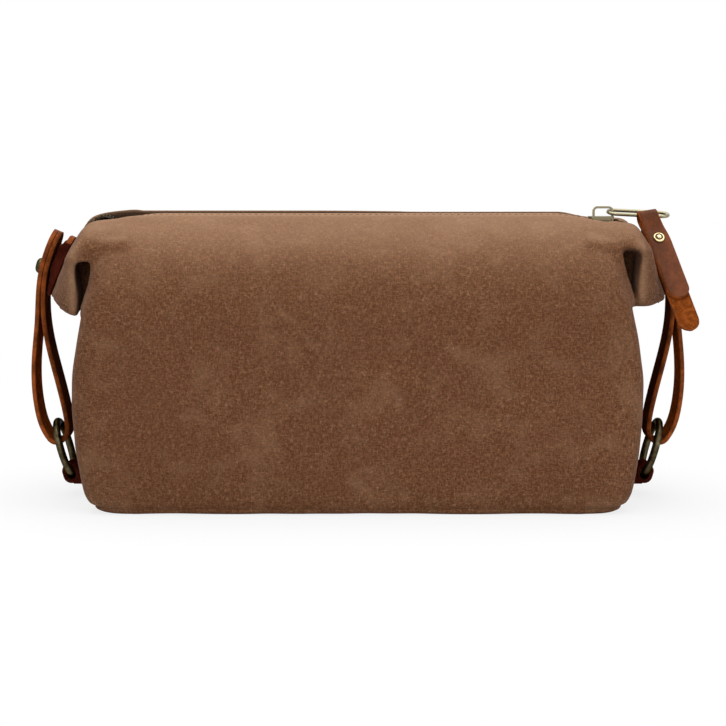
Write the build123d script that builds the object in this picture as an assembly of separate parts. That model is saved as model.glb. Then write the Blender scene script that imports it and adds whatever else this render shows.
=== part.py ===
"""Canvas shaving kit bag with a zipped top, two folded ears and two leather side straps.

Millimetres, +Z up. The origin is the middle of the flat base, +X runs along the zip
towards its closed end, and the front panel faces -Y.
"""

from build123d import *
import math
import os

# ---- bag body -------------------------------------------------------------------------
body_length = 272.0  # between the outer faces of the two side walls
body_depth = 128.0  # between the outer faces of the front and back panels
mouth_height = 146.0  # top of the canvas beside the zip
shoulder_height = 113.0  # where the front panel starts to lean back
ridge_half = 15.0  # half of the level strip of canvas along the zip
base_radius = 9.0
shoulder_radius = 26.0
ridge_radius = 14.0
end_radius = 7.0  # rounding of the edges round each side wall
canvas = 1.6
lining = 0.8
seam_height = 3.0  # base panel's edge above the ground

# ---- folded ears ----------------------------------------------------------------------
ear_half = 46.0  # half width of an ear at its two folds
ear_fold_stand = 5.0  # how far those folds stand out from the side wall
ear_fold_top = 123.0  # above this the folds run back into the roof
ear_tip_height = 99.6
crest_half = 9.0  # half of the flat crest under the leather patch
ear_root_depth = 31.0  # inner end of an ear's outline, behind the side wall
left_corner_inset, left_corner_radius, left_slope = 11.2, 20.2, 66.0
right_corner_inset, right_corner_radius, right_slope = 3.0, 12.0, 70.0

# ---- zip ------------------------------------------------------------------------------
mouth_half = 5.5  # half of the slot between the two canvas edges
hem_width = 3.0  # folded canvas hem beside the slot
hem_depth = 3.6  # how far the hem reaches down to the tape
mouth_end_height = 126.0  # the slot ends here, under each leather patch
tape = 0.6
tape_gap = 1.0  # half of the gap between the two tapes
tooth_pitch = 3.0
tooth_thick = 1.3
tooth_height = 2.4
tooth_reach = 2.9  # from the middle of the zip to the back of a tooth
tooth_hook = 0.7  # how far a tooth crosses the middle of the zip
tooth_jaw = 0.9  # where a tooth's two jaws start
slot_clearance = 0.05

# ---- slider and its pull --------------------------------------------------------------
slider_length = 13.0
slider_width = 8.6
slider_plate = 1.2
slider_clearance = 0.3
slider_park = 2.4  # from the slider's end to the corner of the zip
wedge_length = 3.4
wedge_width = 2.4
bail_width = 2.6
bail_strip = 1.1
bail_height = 3.95  # clear height under the bail
bail_back, bail_front = 4.4, 6.2  # bail's ends, behind and ahead of the slider's middle
ring_wire = 1.8
ring_width, ring_length = 10.4, 32.5  # outer sizes of the oval pull ring
ring_roll = 12.0  # degrees that its rear side is raised
ring_droop = 3.0  # degrees that its free end hangs below level
ring_seat = 1.6  # ring wire's middle behind the bail's front strip
ring_rise = 1.7  # ring wire's middle below the top of the bail's opening
tab_leather = 2.0
tab_width = 11.6
tab_neck = 6.0
tab_front, tab_back = 52.0, 70.0  # lengths of the two legs below the fold
tab_fold = 1.7  # inner radius of the fold round the ring
tab_place_on_ring = 23.2  # from the bail to the middle of the fold
tab_lie = Vector(0.24, -0.68, -0.84)  # direction in which the tab hangs
tab_join = 10.0  # where the two legs meet below the fold
tab_spread = 18.0  # distance over which the neck widens
rivet_drop = 15.0
rivet_head, rivet_head_height, rivet_shank = 6.0, 1.5, 2.6

# ---- side straps ----------------------------------------------------------------------
patch_leather = 2.6
patch_half = 8.5
patch_top_drop = 2.0  # top of the patch below the end of the corner's arc
patch_foot = 110.0  # height of the patch's lower end
strap_leather = 2.3
strap_width = 20.0
strap_gap = 0.12  # between the two legs where they lie together
strap_end_radius = 10.0
stud_height = 117.0
stud_head, stud_head_height, stud_neck = 8.0, 3.0, 3.6
stud_flange, screw_shank = 6.5, 2.2
stud_flange_height = {-1: 2.1, 1: 1.3}  # fills the space between patch and strap
stud_seat = 0.15  # between the flange and the strap
stud_clearance = 0.15
hinge_nose = 0.3

# ---- side rings and their tabs --------------------------------------------------------
side_ring_wire = 3.8
side_ring_outer = 31.8
side_ring_stand, side_ring_height = 15.2, 24.0  # its centre, from the side wall and the ground
side_ring_lean = 16.0  # degrees from upright, top outwards
ring_tab_leather = 2.0
ring_tab_width = 14.0
ring_tab_clearance = 0.3
ring_tab_stretch = 2.2  # extra height of the tab's loop for the ring's curve
ring_tab_neck_height = 6.0

# ---- inside ---------------------------------------------------------------------------
pocket_length, pocket_height, pocket_base, pocket_cloth = 180.0, 76.0, 18.0, 0.7

os.makedirs("parts", exist_ok=True)
BIG = 400.0

# The middle line of each strap leg, as distance out from the side wall and height.
strap_inner_line = [
    (14.6, 137.5), (18.8, 127.0), (22.3, 116.0), (24.0, 103.0), (23.8, 91.0), (21.9, 78.0),
    (18.6, 64.0), (15.2, 50.0), (13.0, 38.0), (13.3, 31.8), (16.2, 28.2), (19.8, 28.0),
    (22.4, 30.2),
]
strap_outer_line = [
    (22.4, 30.2), (25.4, 35.5), (28.2, 46.0), (29.4, 59.0), (28.8, 75.0), (27.3, 90.0),
]

side_wall = body_length / 2
ear_root = side_wall - ear_root_depth
ear_fold_reach = side_wall + ear_fold_stand
left_corner = side_wall - left_corner_inset
right_corner = side_wall - right_corner_inset
side_ring_centre = Vector(side_wall + side_ring_stand, 0, side_ring_height)


def xz(points):
    """Points beside the side wall as vectors on the XZ plane."""
    return [Vector(side_wall + out, 0, height) for out, height in points]


def mirrored(shape, side):
    """The shape as drawn on the right, or its mirror image on the left."""
    return shape if side > 0 else mirror(shape, about=Plane.YZ)


def save(shape, name):
    solids = ShapeList(shape.solids())
    made = solids[0] if len(solids) == 1 else Compound(children=list(solids))
    export_step(made, f"parts/{name}.step")


# ---- the bag's outer form, drawn inset so that skins lie inside each other -------------
def cross_profile(inset):
    """Front-to-back section of the body on the YZ plane."""
    half = body_depth / 2
    outline = face_of(
        Polyline(
            (0, -half, 0), (0, half, 0), (0, half, shoulder_height), (0, ridge_half, mouth_height),
            (0, -ridge_half, mouth_height), (0, -half, shoulder_height), close=True,
        )
    )
    outline = fillet_at(outline, near(outline, 0), base_radius)
    outline = fillet_at(outline, near(outline, shoulder_height), shoulder_radius)
    outline = fillet_at(outline, near(outline, mouth_height), ridge_radius)
    return shrunk(outline, inset)


def face_of(*edges):
    """A flat face on any plane, bounded by these edges."""
    return make_face(ShapeList(edge for item in edges for edge in item.edges())).face()


def near(face, height):
    return [v for v in face.vertices() if abs(v.Z - height) < 1e-3]


def fillet_at(face, vertices, radius):
    """A face on any plane with its corners rounded."""
    return Face(face.outer_wire().fillet_2d(radius, vertices))


def shrunk(face, inset):
    if not inset:
        return face
    return Face(face.outer_wire().offset_2d(-inset))


def box_between(low, high):
    size = Vector(*high) - Vector(*low)
    return Pos(*((Vector(*low) + Vector(*high)) / 2)) * Box(*size)


def main_body(inset):
    half = side_wall - inset
    block = extrude(cross_profile(inset), amount=half, dir=(1, 0, 0), both=True)
    ends = block.edges().filter_by(lambda e: abs(abs(e.center().X) - half) < 1e-3)
    return fillet(ends, end_radius - inset)


def corner_end(side):
    """Where the zip's corner arc meets the sloping crest, its radius and its slope."""
    corner, radius, slope = ear_corner(side)
    a = math.radians(slope)
    return Vector(corner + radius * math.sin(a), 0, mouth_height - radius * (1 - math.cos(a)))


def ear_corner(side):
    if side < 0:
        return left_corner, left_corner_radius, left_slope
    return right_corner, right_corner_radius, right_slope


def crest_direction(side):
    a = math.radians(ear_corner(side)[2])
    return Vector(math.cos(a), 0, -math.sin(a))


def crest_normal(side):
    a = math.radians(ear_corner(side)[2])
    return Vector(math.sin(a), 0, math.cos(a))


def ear_tip(side):
    end = corner_end(side)
    down = crest_direction(side)
    return end + down * ((ear_tip_height - end.Z) / down.Z)


def ear_outline(side, inset):
    """Side view of an ear and of the zip's corner, on the XZ plane, drawn on the right."""
    corner, radius, slope = ear_corner(side)
    half = math.radians(slope / 2)
    middle = Vector(corner + radius * math.sin(half), 0, mouth_height - radius * (1 - math.cos(half)))
    start, end, tip = Vector(corner, 0, mouth_height), corner_end(side), ear_tip(side)
    low, high = Vector(ear_root, 0, ear_tip_height), Vector(ear_root, 0, mouth_height)
    outline = face_of(
        Line(high, start), ThreePointArc(start, middle, end), Line(end, tip), Line(tip, low),
        Line(low, high),
    )
    return shrunk(outline, inset)


def ear_plan(side, inset, height):
    """Top view of an ear at one height: a flat crest and two faces back to its folds."""
    end, down = corner_end(side), crest_direction(side)
    tip = end.X + (height - end.Z) * down.X / down.Z
    fold = ear_fold_reach - max(0.0, height - ear_fold_top) * 0.6
    fold = min(fold, tip - 1)
    points = [
        (ear_root, -ear_half), (fold, -ear_half), (tip, -crest_half),
        (tip, crest_half), (fold, ear_half), (ear_root, ear_half),
    ]
    return Pos(0, 0, height) * shrunk(face_of(Polyline(*points, close=True)), inset)


def ear_body(side, inset):
    outline = extrude(ear_outline(side, inset), amount=body_depth, dir=(0, 1, 0), both=True)
    heights = (ear_tip_height - 1, ear_fold_top, mouth_height + 2)
    plan = loft([ear_plan(side, inset, height) for height in heights], ruled=True)
    roof = extrude(cross_profile(inset), amount=BIG / 2, dir=(1, 0, 0))
    return mirrored(outline & plan & roof, side)


def envelope(inset):
    return main_body(inset) + ear_body(-1, inset) + ear_body(1, inset)


def mouth_band(side, outer, inner, y_low, y_high):
    """A strip that follows the zip's line between two depths, on one half of the bag."""
    band = ear_outline(side, outer) - ear_outline(side, inner)
    strip = mirrored(extrude(band, amount=y_high - y_low, dir=(0, 1, 0)), side)
    strip = Pos(0, y_low, 0) * strip
    top = box_between((0, -BIG, mouth_end_height), (BIG, BIG, BIG))
    edge = corner_end(side)
    keep = box_between((ear_root + inner, -BIG, mouth_end_height), (edge.X + BIG, BIG, BIG))
    return strip & mirrored(top & keep, side)


def along_mouth(outer, inner, y_low, y_high):
    """The same strip over both corners and the straight run between them."""
    run = box_between(
        (-ear_root - inner, y_low, mouth_height - inner), (ear_root + inner, y_high, mouth_height - outer)
    )
    return mouth_band(-1, outer, inner, y_low, y_high) + run + mouth_band(1, outer, inner, y_low, y_high)


def half_space(side):
    low, high = (-BIG, 0) if side < 0 else (0, BIG)
    return box_between((-BIG, low, -BIG), (BIG, high, BIG))


# ---- ribbons of leather ---------------------------------------------------------------
def ribbon(points, thickness, width, samples=28):
    """A strap of even thickness along a smooth line on the XZ plane, centred on Y."""
    line = Spline(*xz(points))
    side_a, side_b = [], []
    for i in range(samples + 1):
        at, along = line @ (i / samples), line % (i / samples)
        across = Vector(-along.Z, 0, along.X) * (thickness / 2)
        side_a.append(at + across)
        side_b.append(at - across)
    top, bottom = Spline(*side_a), Spline(*side_b)
    face = face_of(top, Line(side_a[-1], side_b[-1]), bottom, Line(side_b[0], side_a[0]))
    return extrude(face, amount=width / 2, dir=(0, 1, 0), both=True)


def aligned(origin, x_dir, z_dir):
    return Plane(origin=origin, x_dir=x_dir, z_dir=z_dir).location


def round_end(point, along, radius, width):
    """What is cut from a strap's end to round its two corners."""
    reach = radius + 4
    block = Pos(0, 0, reach / 2) * Box(3 * strap_leather, width + 2, reach)
    keep_low = Pos(0, 0, -reach) * Box(3 * strap_leather, width, 2 * reach)
    disc = Rot(0, 90, 0) * Cylinder(width / 2, 3 * strap_leather)
    cut = block - (Pos(0, 0, 0) * disc) - keep_low
    return aligned(point - along * radius, Vector(along.Z, 0, -along.X), along) * cut


# ---- canvas and lining ----------------------------------------------------------------
outer_form = envelope(0)
canvas_form = envelope(canvas)
lining_form = envelope(canvas + lining)
slot = box_between((-BIG, -mouth_half, mouth_end_height), (BIG, mouth_half, BIG))
hem_reach = mouth_half + hem_width
wide_slot = box_between((-BIG, -hem_reach, mouth_end_height - 2), (BIG, hem_reach, BIG))
canvas_skin = outer_form - canvas_form - slot
lining_skin = canvas_form - lining_form - wide_slot
hem_bottom = canvas + hem_depth

hinge_point = xz(strap_inner_line)[-1]
ring_lean = math.radians(side_ring_lean)
ring_up = Vector(math.sin(ring_lean), 0, math.cos(ring_lean))
ring_radius = (side_ring_outer - side_ring_wire) / 2
ring_foot = side_ring_centre - ring_up * ring_radius


def ring_tab(side):
    """A leather strip folded round the side ring's foot and sewn into the base seam."""
    inner_radius = side_ring_wire / 2 + ring_tab_clearance
    outer_radius = inner_radius + ring_tab_leather
    centre = ring_foot + ring_up * (ring_tab_stretch / 2)

    def loop(radius):
        shape = Rot(90, 0, 0) * extrude(
            SlotCenterToCenter(ring_tab_stretch, 2 * radius), amount=ring_tab_width / 2, both=True
        )
        return Pos(*centre) * Rot(0, side_ring_lean - 90, 0) * shape

    neck_end = side_wall - canvas
    neck = box_between(
        (neck_end, -ring_tab_width / 2, ring_tab_neck_height),
        (ring_foot.X - inner_radius / 2, ring_tab_width / 2, ring_tab_neck_height + 2 * ring_tab_leather),
    )
    return mirrored(loop(outer_radius) + neck - loop(inner_radius), side)


tabs = {side: ring_tab(side) for side in (-1, 1)}
for name, side in (("front", -1), ("back", 1)):
    hem_low, hem_high = sorted((side * mouth_half, side * hem_reach))
    hem = along_mouth(canvas, hem_bottom, hem_low, hem_high)
    skin = (canvas_skin & half_space(side)) + hem
    ground = box_between((-BIG, -BIG, -BIG), (BIG, BIG, seam_height))
    panel = skin - ground - tabs[-1] - tabs[1]
    save(panel, f"{name}_canvas_panel")
    save(lining_skin & half_space(side), f"{name}_lining")
    tape_low, tape_high = sorted((side * tape_gap, side * hem_reach))
    save(along_mouth(hem_bottom, hem_bottom + tape, tape_low, tape_high), f"{name}_zip_tape")
save(canvas_skin & ground, "base_canvas_panel")
for side, name in ((-1, "left"), (1, "right")):
    save(tabs[side], f"{name}_ring_tab")

pocket_face = body_depth / 2 - canvas - lining
pocket = box_between(
    (-pocket_length / 2, pocket_face - 3 * pocket_cloth, pocket_base),
    (pocket_length / 2, pocket_face, pocket_base + pocket_height),
)
pocket_room = box_between(
    (-pocket_length / 2 + 3 * pocket_cloth, pocket_face - 2 * pocket_cloth, pocket_base + pocket_cloth),
    (pocket_length / 2 - 3 * pocket_cloth, pocket_face, pocket_base + pocket_height + 1),
)
save(pocket - pocket_room, "slip_pocket")

# ---- zip teeth and stops --------------------------------------------------------------
tape_middle = mouth_height - hem_bottom - tape / 2
slider_middle = right_corner - slider_park - slider_length / 2
wedge_back = slider_length / 2 - wedge_length - 0.8  # wedge's rear, ahead of the slider's middle


def tooth(side):
    """One tooth at the origin, with its two jaws round the tape on that side."""
    head = box_between(
        (-tooth_thick / 2, -tooth_reach, -tooth_height / 2), (tooth_thick / 2, tooth_hook, tooth_height / 2)
    )
    slit = box_between(
        (-tooth_thick, -2 * tooth_reach, -tape / 2 - slot_clearance),
        (tooth_thick, -tooth_jaw, tape / 2 + slot_clearance),
    )
    made = head - slit
    return made if side < 0 else Rot(0, 0, 180) * made


def zip_place(distance):
    """Location on the zip's line, that far from the left corner along the chain."""
    radius = left_corner_radius - hem_bottom - tape / 2
    if distance >= 0:
        return Pos(-left_corner + distance, 0, tape_middle)
    turn = -distance / radius
    centre_z = mouth_height - left_corner_radius
    x, z = -left_corner - radius * math.sin(turn), centre_z + radius * math.cos(turn)
    return Pos(x, 0, z) * Rot(0, -math.degrees(turn), 0)


chain_end = left_corner + slider_middle + wedge_back - tooth_thick / 2 - 0.3
arc_length = (left_corner_radius - hem_bottom - tape / 2) * math.radians(left_slope) - 2.0
last_tooth = tooth_thick / 2 + 0.8 + 0.15 - 1.2 - arc_length  # clear of the stop at the left end
for name, side, shift in (("front", -1, 0.0), ("back", 1, tooth_pitch / 2)):
    teeth = []
    place = chain_end - shift
    while place > last_tooth:
        teeth.append(zip_place(place) * tooth(side))
        place -= tooth_pitch
    save(Compound(children=teeth), f"{name}_zip_teeth")

stop_length, stop_edge = 1.8, 0.45
stops = []
stop_place = slider_middle + slider_length / 2 + stop_length / 2 + 0.3
for side in (-1, 1):
    block = box_between(
        (-stop_length / 2, stop_edge, -tooth_height / 2), (stop_length / 2, tooth_reach, tooth_height / 2)
    )
    slit = box_between(
        (-stop_length, tape_gap - slot_clearance, -tape / 2 - slot_clearance),
        (stop_length, 2 * tooth_reach, tape / 2 + slot_clearance),
    )
    turned = Rot(0, 0, 0 if side > 0 else 180) * (block - slit)
    stops.append(Pos(stop_place, 0, tape_middle) * turned)
bottom = zip_place(-arc_length - 1.2) * Box(1.6, 2 * tape_gap - 2 * slot_clearance, tooth_height)
cheeks = zip_place(-arc_length - 1.2) * (
    Pos(0, 0, tape / 2 + slot_clearance + 0.4) * Box(1.6, 4.6, 0.8)
    + Pos(0, 0, -tape / 2 - slot_clearance - 0.4) * Box(1.6, 4.6, 0.8)
)
stops.append(bottom + cheeks)
save(Compound(children=stops), "zip_end_stops")

# ---- slider, drawn about its own middle ------------------------------------------------
plate_gap = tooth_height / 2 + slider_clearance
flange_gap = tape / 2 + slider_clearance
flange_width = 1.0
plates = []
for up in (-1, 1):
    middle = up * (plate_gap + slider_plate / 2)
    outline = fillet(
        Rectangle(slider_length, slider_width).vertices(), slider_width / 4
    )
    plate = Pos(0, 0, middle - slider_plate / 2) * extrude(outline, amount=slider_plate)
    for side in (-1, 1):
        flange_mid = side * (slider_width / 2 - flange_width / 2)
        tall = plate_gap - flange_gap
        length = slider_length - slider_width / 2
        plate += Pos(0, flange_mid, up * (flange_gap + tall / 2)) * Box(length, flange_width, tall)
    plates.append(plate)
wedge = Pos(wedge_back + wedge_length / 2, 0, 0) * Box(
    wedge_length, min(wedge_width, 2 * tape_gap - 0.3), 2 * plate_gap
)
plate_top = plate_gap + slider_plate
arch_outer = box_between(
    (-bail_back, -bail_width / 2, plate_top - 0.2), (bail_front, bail_width / 2, plate_top + bail_height + bail_strip)
)
arch_outer = fillet(
    arch_outer.edges().filter_by(Axis.Y).group_by(Axis.Z)[-1], 2.4
)
arch_inner = box_between(
    (-bail_back + bail_strip, -bail_width, plate_top), (bail_front - bail_strip, bail_width, plate_top + bail_height)
)
arch_inner = fillet(
    arch_inner.edges().filter_by(Axis.Y).group_by(Axis.Z)[-1], 1.3
)
slider_place = Pos(slider_middle, 0, tape_middle)
slider = plates[0] + plates[1] + wedge + (arch_outer - arch_inner)
save(slider_place * slider, "slider_body")

# ---- pull ring ------------------------------------------------------------------------
ring_pivot = Vector(
    slider_middle + bail_front - bail_strip - ring_seat,
    0,
    tape_middle + plate_top + bail_height - ring_rise,
)
droop, roll = math.radians(ring_droop), math.radians(ring_roll)
ring_out = Vector(math.cos(droop), 0, -math.sin(droop))  # from the bail to the free end
ring_far = Vector(0, math.cos(roll), math.sin(roll))  # from the front side to the rear side
ring_far = (ring_far - ring_out * ring_far.dot(ring_out)).normalized()
ring_bend = (ring_width - ring_wire) / 2
ring_end = ring_length - ring_wire
oval = Wire(
    [
        Line((ring_bend, -ring_bend), (ring_end - ring_bend, -ring_bend)),
        ThreePointArc(
            (ring_end - ring_bend, -ring_bend), (ring_end, 0), (ring_end - ring_bend, ring_bend)
        ),
        Line((ring_end - ring_bend, ring_bend), (ring_bend, ring_bend)),
        ThreePointArc((ring_bend, ring_bend), (0, 0), (ring_bend, -ring_bend)),
    ]
)
ring_section = Plane(origin=(ring_bend, -ring_bend, 0), z_dir=(1, 0, 0)) * Circle(ring_wire / 2)
pull_ring = aligned(ring_pivot, ring_out, ring_out.cross(ring_far)) * sweep(ring_section, path=oval)
save(pull_ring, "pull_ring")

# ---- leather pull tab and its rivet ----------------------------------------------------
hang = tab_lie.normalized()
fold_axis = (ring_out - hang * ring_out.dot(hang)).normalized()
fold_centre = ring_pivot + ring_out * tab_place_on_ring - ring_far * ring_bend
tab_place = aligned(fold_centre, fold_axis, hang * -1)  # local X across, Y to the back, Z up
fold_middle = tab_fold + tab_leather / 2
leg_middle = tab_leather / 2 + 0.05


def tab_leg(side, length):
    """One leg of the pull, from its fold to its end, on the local YZ plane."""
    inner, outer = side * (leg_middle - tab_leather / 2), side * (leg_middle + tab_leather / 2)
    fold_in, fold_out = side * tab_fold, side * (tab_fold + tab_leather)
    face = face_of(
        Spline((0, fold_in, 0), (0, inner, -tab_join), tangents=[(0, 0, -1), (0, 0, -1)]),
        Line((0, inner, -tab_join), (0, inner, -length)),
        Line((0, inner, -length), (0, outer, -length)),
        Line((0, outer, -length), (0, outer, -tab_join)),
        Spline((0, outer, -tab_join), (0, fold_out, 0), tangents=[(0, 0, 1), (0, 0, 1)]),
        Line((0, fold_out, 0), (0, fold_in, 0)),
    )
    return extrude(face, amount=tab_width / 2, dir=(1, 0, 0), both=True)


def tab_outline(length):
    """Front view of the pull: a narrow neck at the fold that widens to a round-ended strap."""
    half, neck = tab_width / 2, tab_neck / 2
    face = face_of(
        Line((-neck, 0, 8), (neck, 0, 8)),
        Line((neck, 0, 8), (neck, 0, 1)),
        Spline((neck, 0, 1), (half, 0, -tab_spread), tangents=[(0, 0, -1), (0, 0, -1)]),
        Line((half, 0, -tab_spread), (half, 0, half - length)),
        ThreePointArc((half, 0, half - length), (0, 0, -length), (-half, 0, half - length)),
        Line((-half, 0, half - length), (-half, 0, -tab_spread)),
        Spline((-half, 0, -tab_spread), (-neck, 0, 1), tangents=[(0, 0, 1), (0, 0, 1)]),
        Line((-neck, 0, 1), (-neck, 0, 8)),
    )
    return extrude(face, amount=20, dir=(0, 1, 0), both=True)


fold_ring = Rot(0, 90, 0) * (
    Cylinder(tab_fold + tab_leather, tab_width) - Cylinder(tab_fold, tab_width)
)
fold_top = fold_ring & box_between((-BIG, -BIG, 0), (BIG, BIG, BIG))
tab = (
    (fold_top & tab_outline(tab_back))
    + (tab_leg(-1, tab_front) & tab_outline(tab_front))
    + (tab_leg(1, tab_back) & tab_outline(tab_back))
)
rivet_hole = Pos(0, 0, -rivet_drop) * Rot(90, 0, 0) * Cylinder(rivet_shank / 2 + 0.05, 20)
save(tab_place * (tab - rivet_hole), "pull_tab")

rivet_face = 2 * leg_middle - leg_middle + tab_leather / 2
cap = Pos(0, 0, rivet_head_height / 2) * Cylinder(rivet_head / 2, rivet_head_height)
cap = fillet(cap.edges().group_by(Axis.Z)[-1], 0.85 * rivet_head_height)
cap = Pos(0, -rivet_face, -rivet_drop) * Rot(90, 0, 0) * cap
shank = Pos(0, 0, -rivet_drop) * Rot(90, 0, 0) * Cylinder(rivet_shank / 2, 2 * rivet_face)
tail = Pos(0, rivet_face + 0.4, -rivet_drop) * Rot(90, 0, 0) * Cylinder(rivet_head / 2, 0.8)
save(tab_place * cap, "pull_rivet_cap")
save(tab_place * (shank + tail), "pull_rivet_post")

# ---- side straps, rings, patches and studs ---------------------------------------------
def strap_legs():
    """The two legs of a strap, drawn on the right: the sewn inner one and the outer one."""
    inner_spline = Spline(*xz(strap_inner_line))
    inner = ribbon(strap_inner_line, strap_leather, strap_width)
    top = []
    for i in range(4):  # the outer leg lies on the inner one above the loop
        at = inner_spline.position_at(0.24 - 0.08 * i)
        along = inner_spline.tangent_at(0.24 - 0.08 * i)
        away = Vector(-along.Z, 0, along.X)
        at = at + away * (strap_leather + strap_gap)
        top.append((at.X - side_wall, at.Z))
    outer = ribbon(strap_outer_line + top, strap_leather, strap_width)
    return inner, outer, inner_spline


inner_leg, outer_leg, inner_spline = strap_legs()
stud_share = min(
    (abs((inner_spline @ (i / 400)).Z - stud_height), i / 400) for i in range(100)
)[1]
stud_at = inner_spline @ stud_share
stud_along = (inner_spline % stud_share) * -1
stud_out = Vector(stud_along.Z, 0, -stud_along.X)
stud_place = aligned(stud_at, Vector(0, 1, 0), stud_out)  # local Z points out of the bag

top_along = (inner_spline % 0) * -1
inner_leg -= round_end(inner_spline @ 0, top_along, strap_end_radius, strap_width)
outer_top = (inner_spline @ 0) + Vector(top_along.Z, 0, -top_along.X) * (strap_leather + strap_gap)
outer_leg -= round_end(outer_top, top_along, strap_end_radius, strap_width)

bottom_face = -strap_leather / 2
stack_face = strap_leather / 2 + strap_gap + strap_leather
inner_leg -= stud_place * Cylinder(stud_neck / 2 + 0.05, 4 * strap_leather)
outer_leg -= stud_place * Pos(0, 0, stack_face) * Cylinder(
    stud_head / 2 + stud_clearance, 3 * strap_leather
)
nose = Pos(*hinge_point) * Rot(90, 0, 0) * Cylinder(strap_leather / 2 + hinge_nose, strap_width + 2)
outer_leg -= nose
knuckle = Pos(*hinge_point) * Rot(90, 0, 0) * Cylinder(strap_leather / 2, strap_width)
inner_leg += knuckle

post_bottom = bottom_face
head_base = stack_face + 0.05
post = Pos(0, 0, (post_bottom + head_base) / 2 + 0.5) * Cylinder(stud_neck / 2, head_base - post_bottom + 1)
dome = Pos(0, 0, head_base) * (
    Pos(0, 0, stud_head_height / 2) * Cylinder(stud_head / 2, stud_head_height)
)
dome = fillet(dome.edges().group_by(Axis.Z)[-1], stud_head_height * 0.75)
dome = fillet(dome.edges().group_by(Axis.Z)[0], stud_head_height * 0.2)
screw_hole = Pos(0, 0, (post_bottom + head_base) / 2) * Cylinder(screw_shank / 2, head_base - post_bottom)
stud = stud_place * (post + dome - screw_hole)


def stud_screw(side):
    """The screw base of a stud: a flange behind the strap and a shank into the stud."""
    flange_top = post_bottom - stud_seat
    height = stud_flange_height[side]
    shank_top = head_base - 0.4
    base = Pos(0, 0, flange_top - height / 2) * Cylinder(stud_flange / 2, height)
    low = flange_top - height / 2
    shaft = Pos(0, 0, (low + shank_top) / 2) * Cylinder(screw_shank / 2 - 0.02, shank_top - low)
    return stud_place * (base + shaft)


side_ring = aligned(side_ring_centre, Vector(0, 1, 0), ring_up.cross(Vector(0, 1, 0))) * Torus(
    ring_radius, side_ring_wire / 2
)


def ear_patch(side):
    """Leather patch sewn over the zip's end on an ear's crest."""
    down, out = crest_direction(side), crest_normal(side)
    start = corner_end(side) + down * patch_top_drop
    length = (patch_foot - start.Z) / down.Z
    block = Box(length, 2 * patch_half, patch_leather)
    block = fillet(block.edges().filter_by(Axis.Z), 3.0)
    middle = start + down * (length / 2) + out * (patch_leather / 2 + 0.02)
    return mirrored(aligned(middle, down, out) * block, side)


for side, name in ((-1, "left"), (1, "right")):
    save(ear_patch(side), f"{name}_ear_patch")
    save(mirrored(inner_leg, side), f"{name}_strap_inner_leg")
    save(mirrored(outer_leg, side), f"{name}_strap_outer_leg")
    save(mirrored(stud, side), f"{name}_stud_head")
    save(mirrored(stud_screw(side), side), f"{name}_stud_screw")
    save(mirrored(side_ring, side), f"{name}_side_ring")

if __name__ == "__main__":
    print("ear tips", [round(ear_tip(s).X, 1) for s in (-1, 1)])
    print("slider middle", slider_middle, "ring pivot", ring_pivot, "ring axis", ring_far)
    print("tab fold", fold_centre, "axis", fold_axis)
    print("strap hinge", hinge_point, "ring foot", ring_foot, "stud", stud_at)
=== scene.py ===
import math
from contextlib import contextmanager

import bmesh
import bpy
import numpy as np
from bpy.props import FloatProperty, FloatVectorProperty, PointerProperty
from bpy.types import Operator, Panel, PropertyGroup
from mathutils import Matrix, Vector


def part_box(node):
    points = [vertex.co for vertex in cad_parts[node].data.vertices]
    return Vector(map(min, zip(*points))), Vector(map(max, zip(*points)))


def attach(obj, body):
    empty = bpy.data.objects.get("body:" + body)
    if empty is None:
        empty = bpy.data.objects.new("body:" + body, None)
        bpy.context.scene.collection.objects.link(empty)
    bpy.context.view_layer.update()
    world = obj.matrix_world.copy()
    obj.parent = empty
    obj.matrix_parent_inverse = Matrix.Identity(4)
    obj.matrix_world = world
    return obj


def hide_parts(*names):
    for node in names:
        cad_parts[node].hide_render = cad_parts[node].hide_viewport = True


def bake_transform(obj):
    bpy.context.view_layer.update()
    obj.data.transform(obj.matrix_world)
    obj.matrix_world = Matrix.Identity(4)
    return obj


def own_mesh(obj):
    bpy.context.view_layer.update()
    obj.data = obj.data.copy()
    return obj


bl_info = {
    "name": "Shaving Kit Bag",
    "version": (1, 0, 0),
    "blender": (4, 5, 0),
    "location": "View3D > Sidebar > Kit Bag",
    "description": "Builds a canvas shaving kit bag with leather side straps around its frame",
    "category": "Object",
}

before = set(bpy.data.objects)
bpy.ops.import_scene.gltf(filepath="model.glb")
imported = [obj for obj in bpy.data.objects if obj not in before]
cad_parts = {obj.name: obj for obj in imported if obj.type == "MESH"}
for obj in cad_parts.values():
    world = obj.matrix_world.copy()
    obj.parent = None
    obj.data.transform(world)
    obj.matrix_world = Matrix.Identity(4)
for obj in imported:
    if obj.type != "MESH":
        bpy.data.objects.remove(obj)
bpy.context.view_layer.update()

# Lengths are in millimetres unless a comment says metres. MM turns them into metres.
MM = 0.001
SIDES = {"left": -1, "right": 1}
PANELS = {"front": -1, "back": 1}

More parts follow.
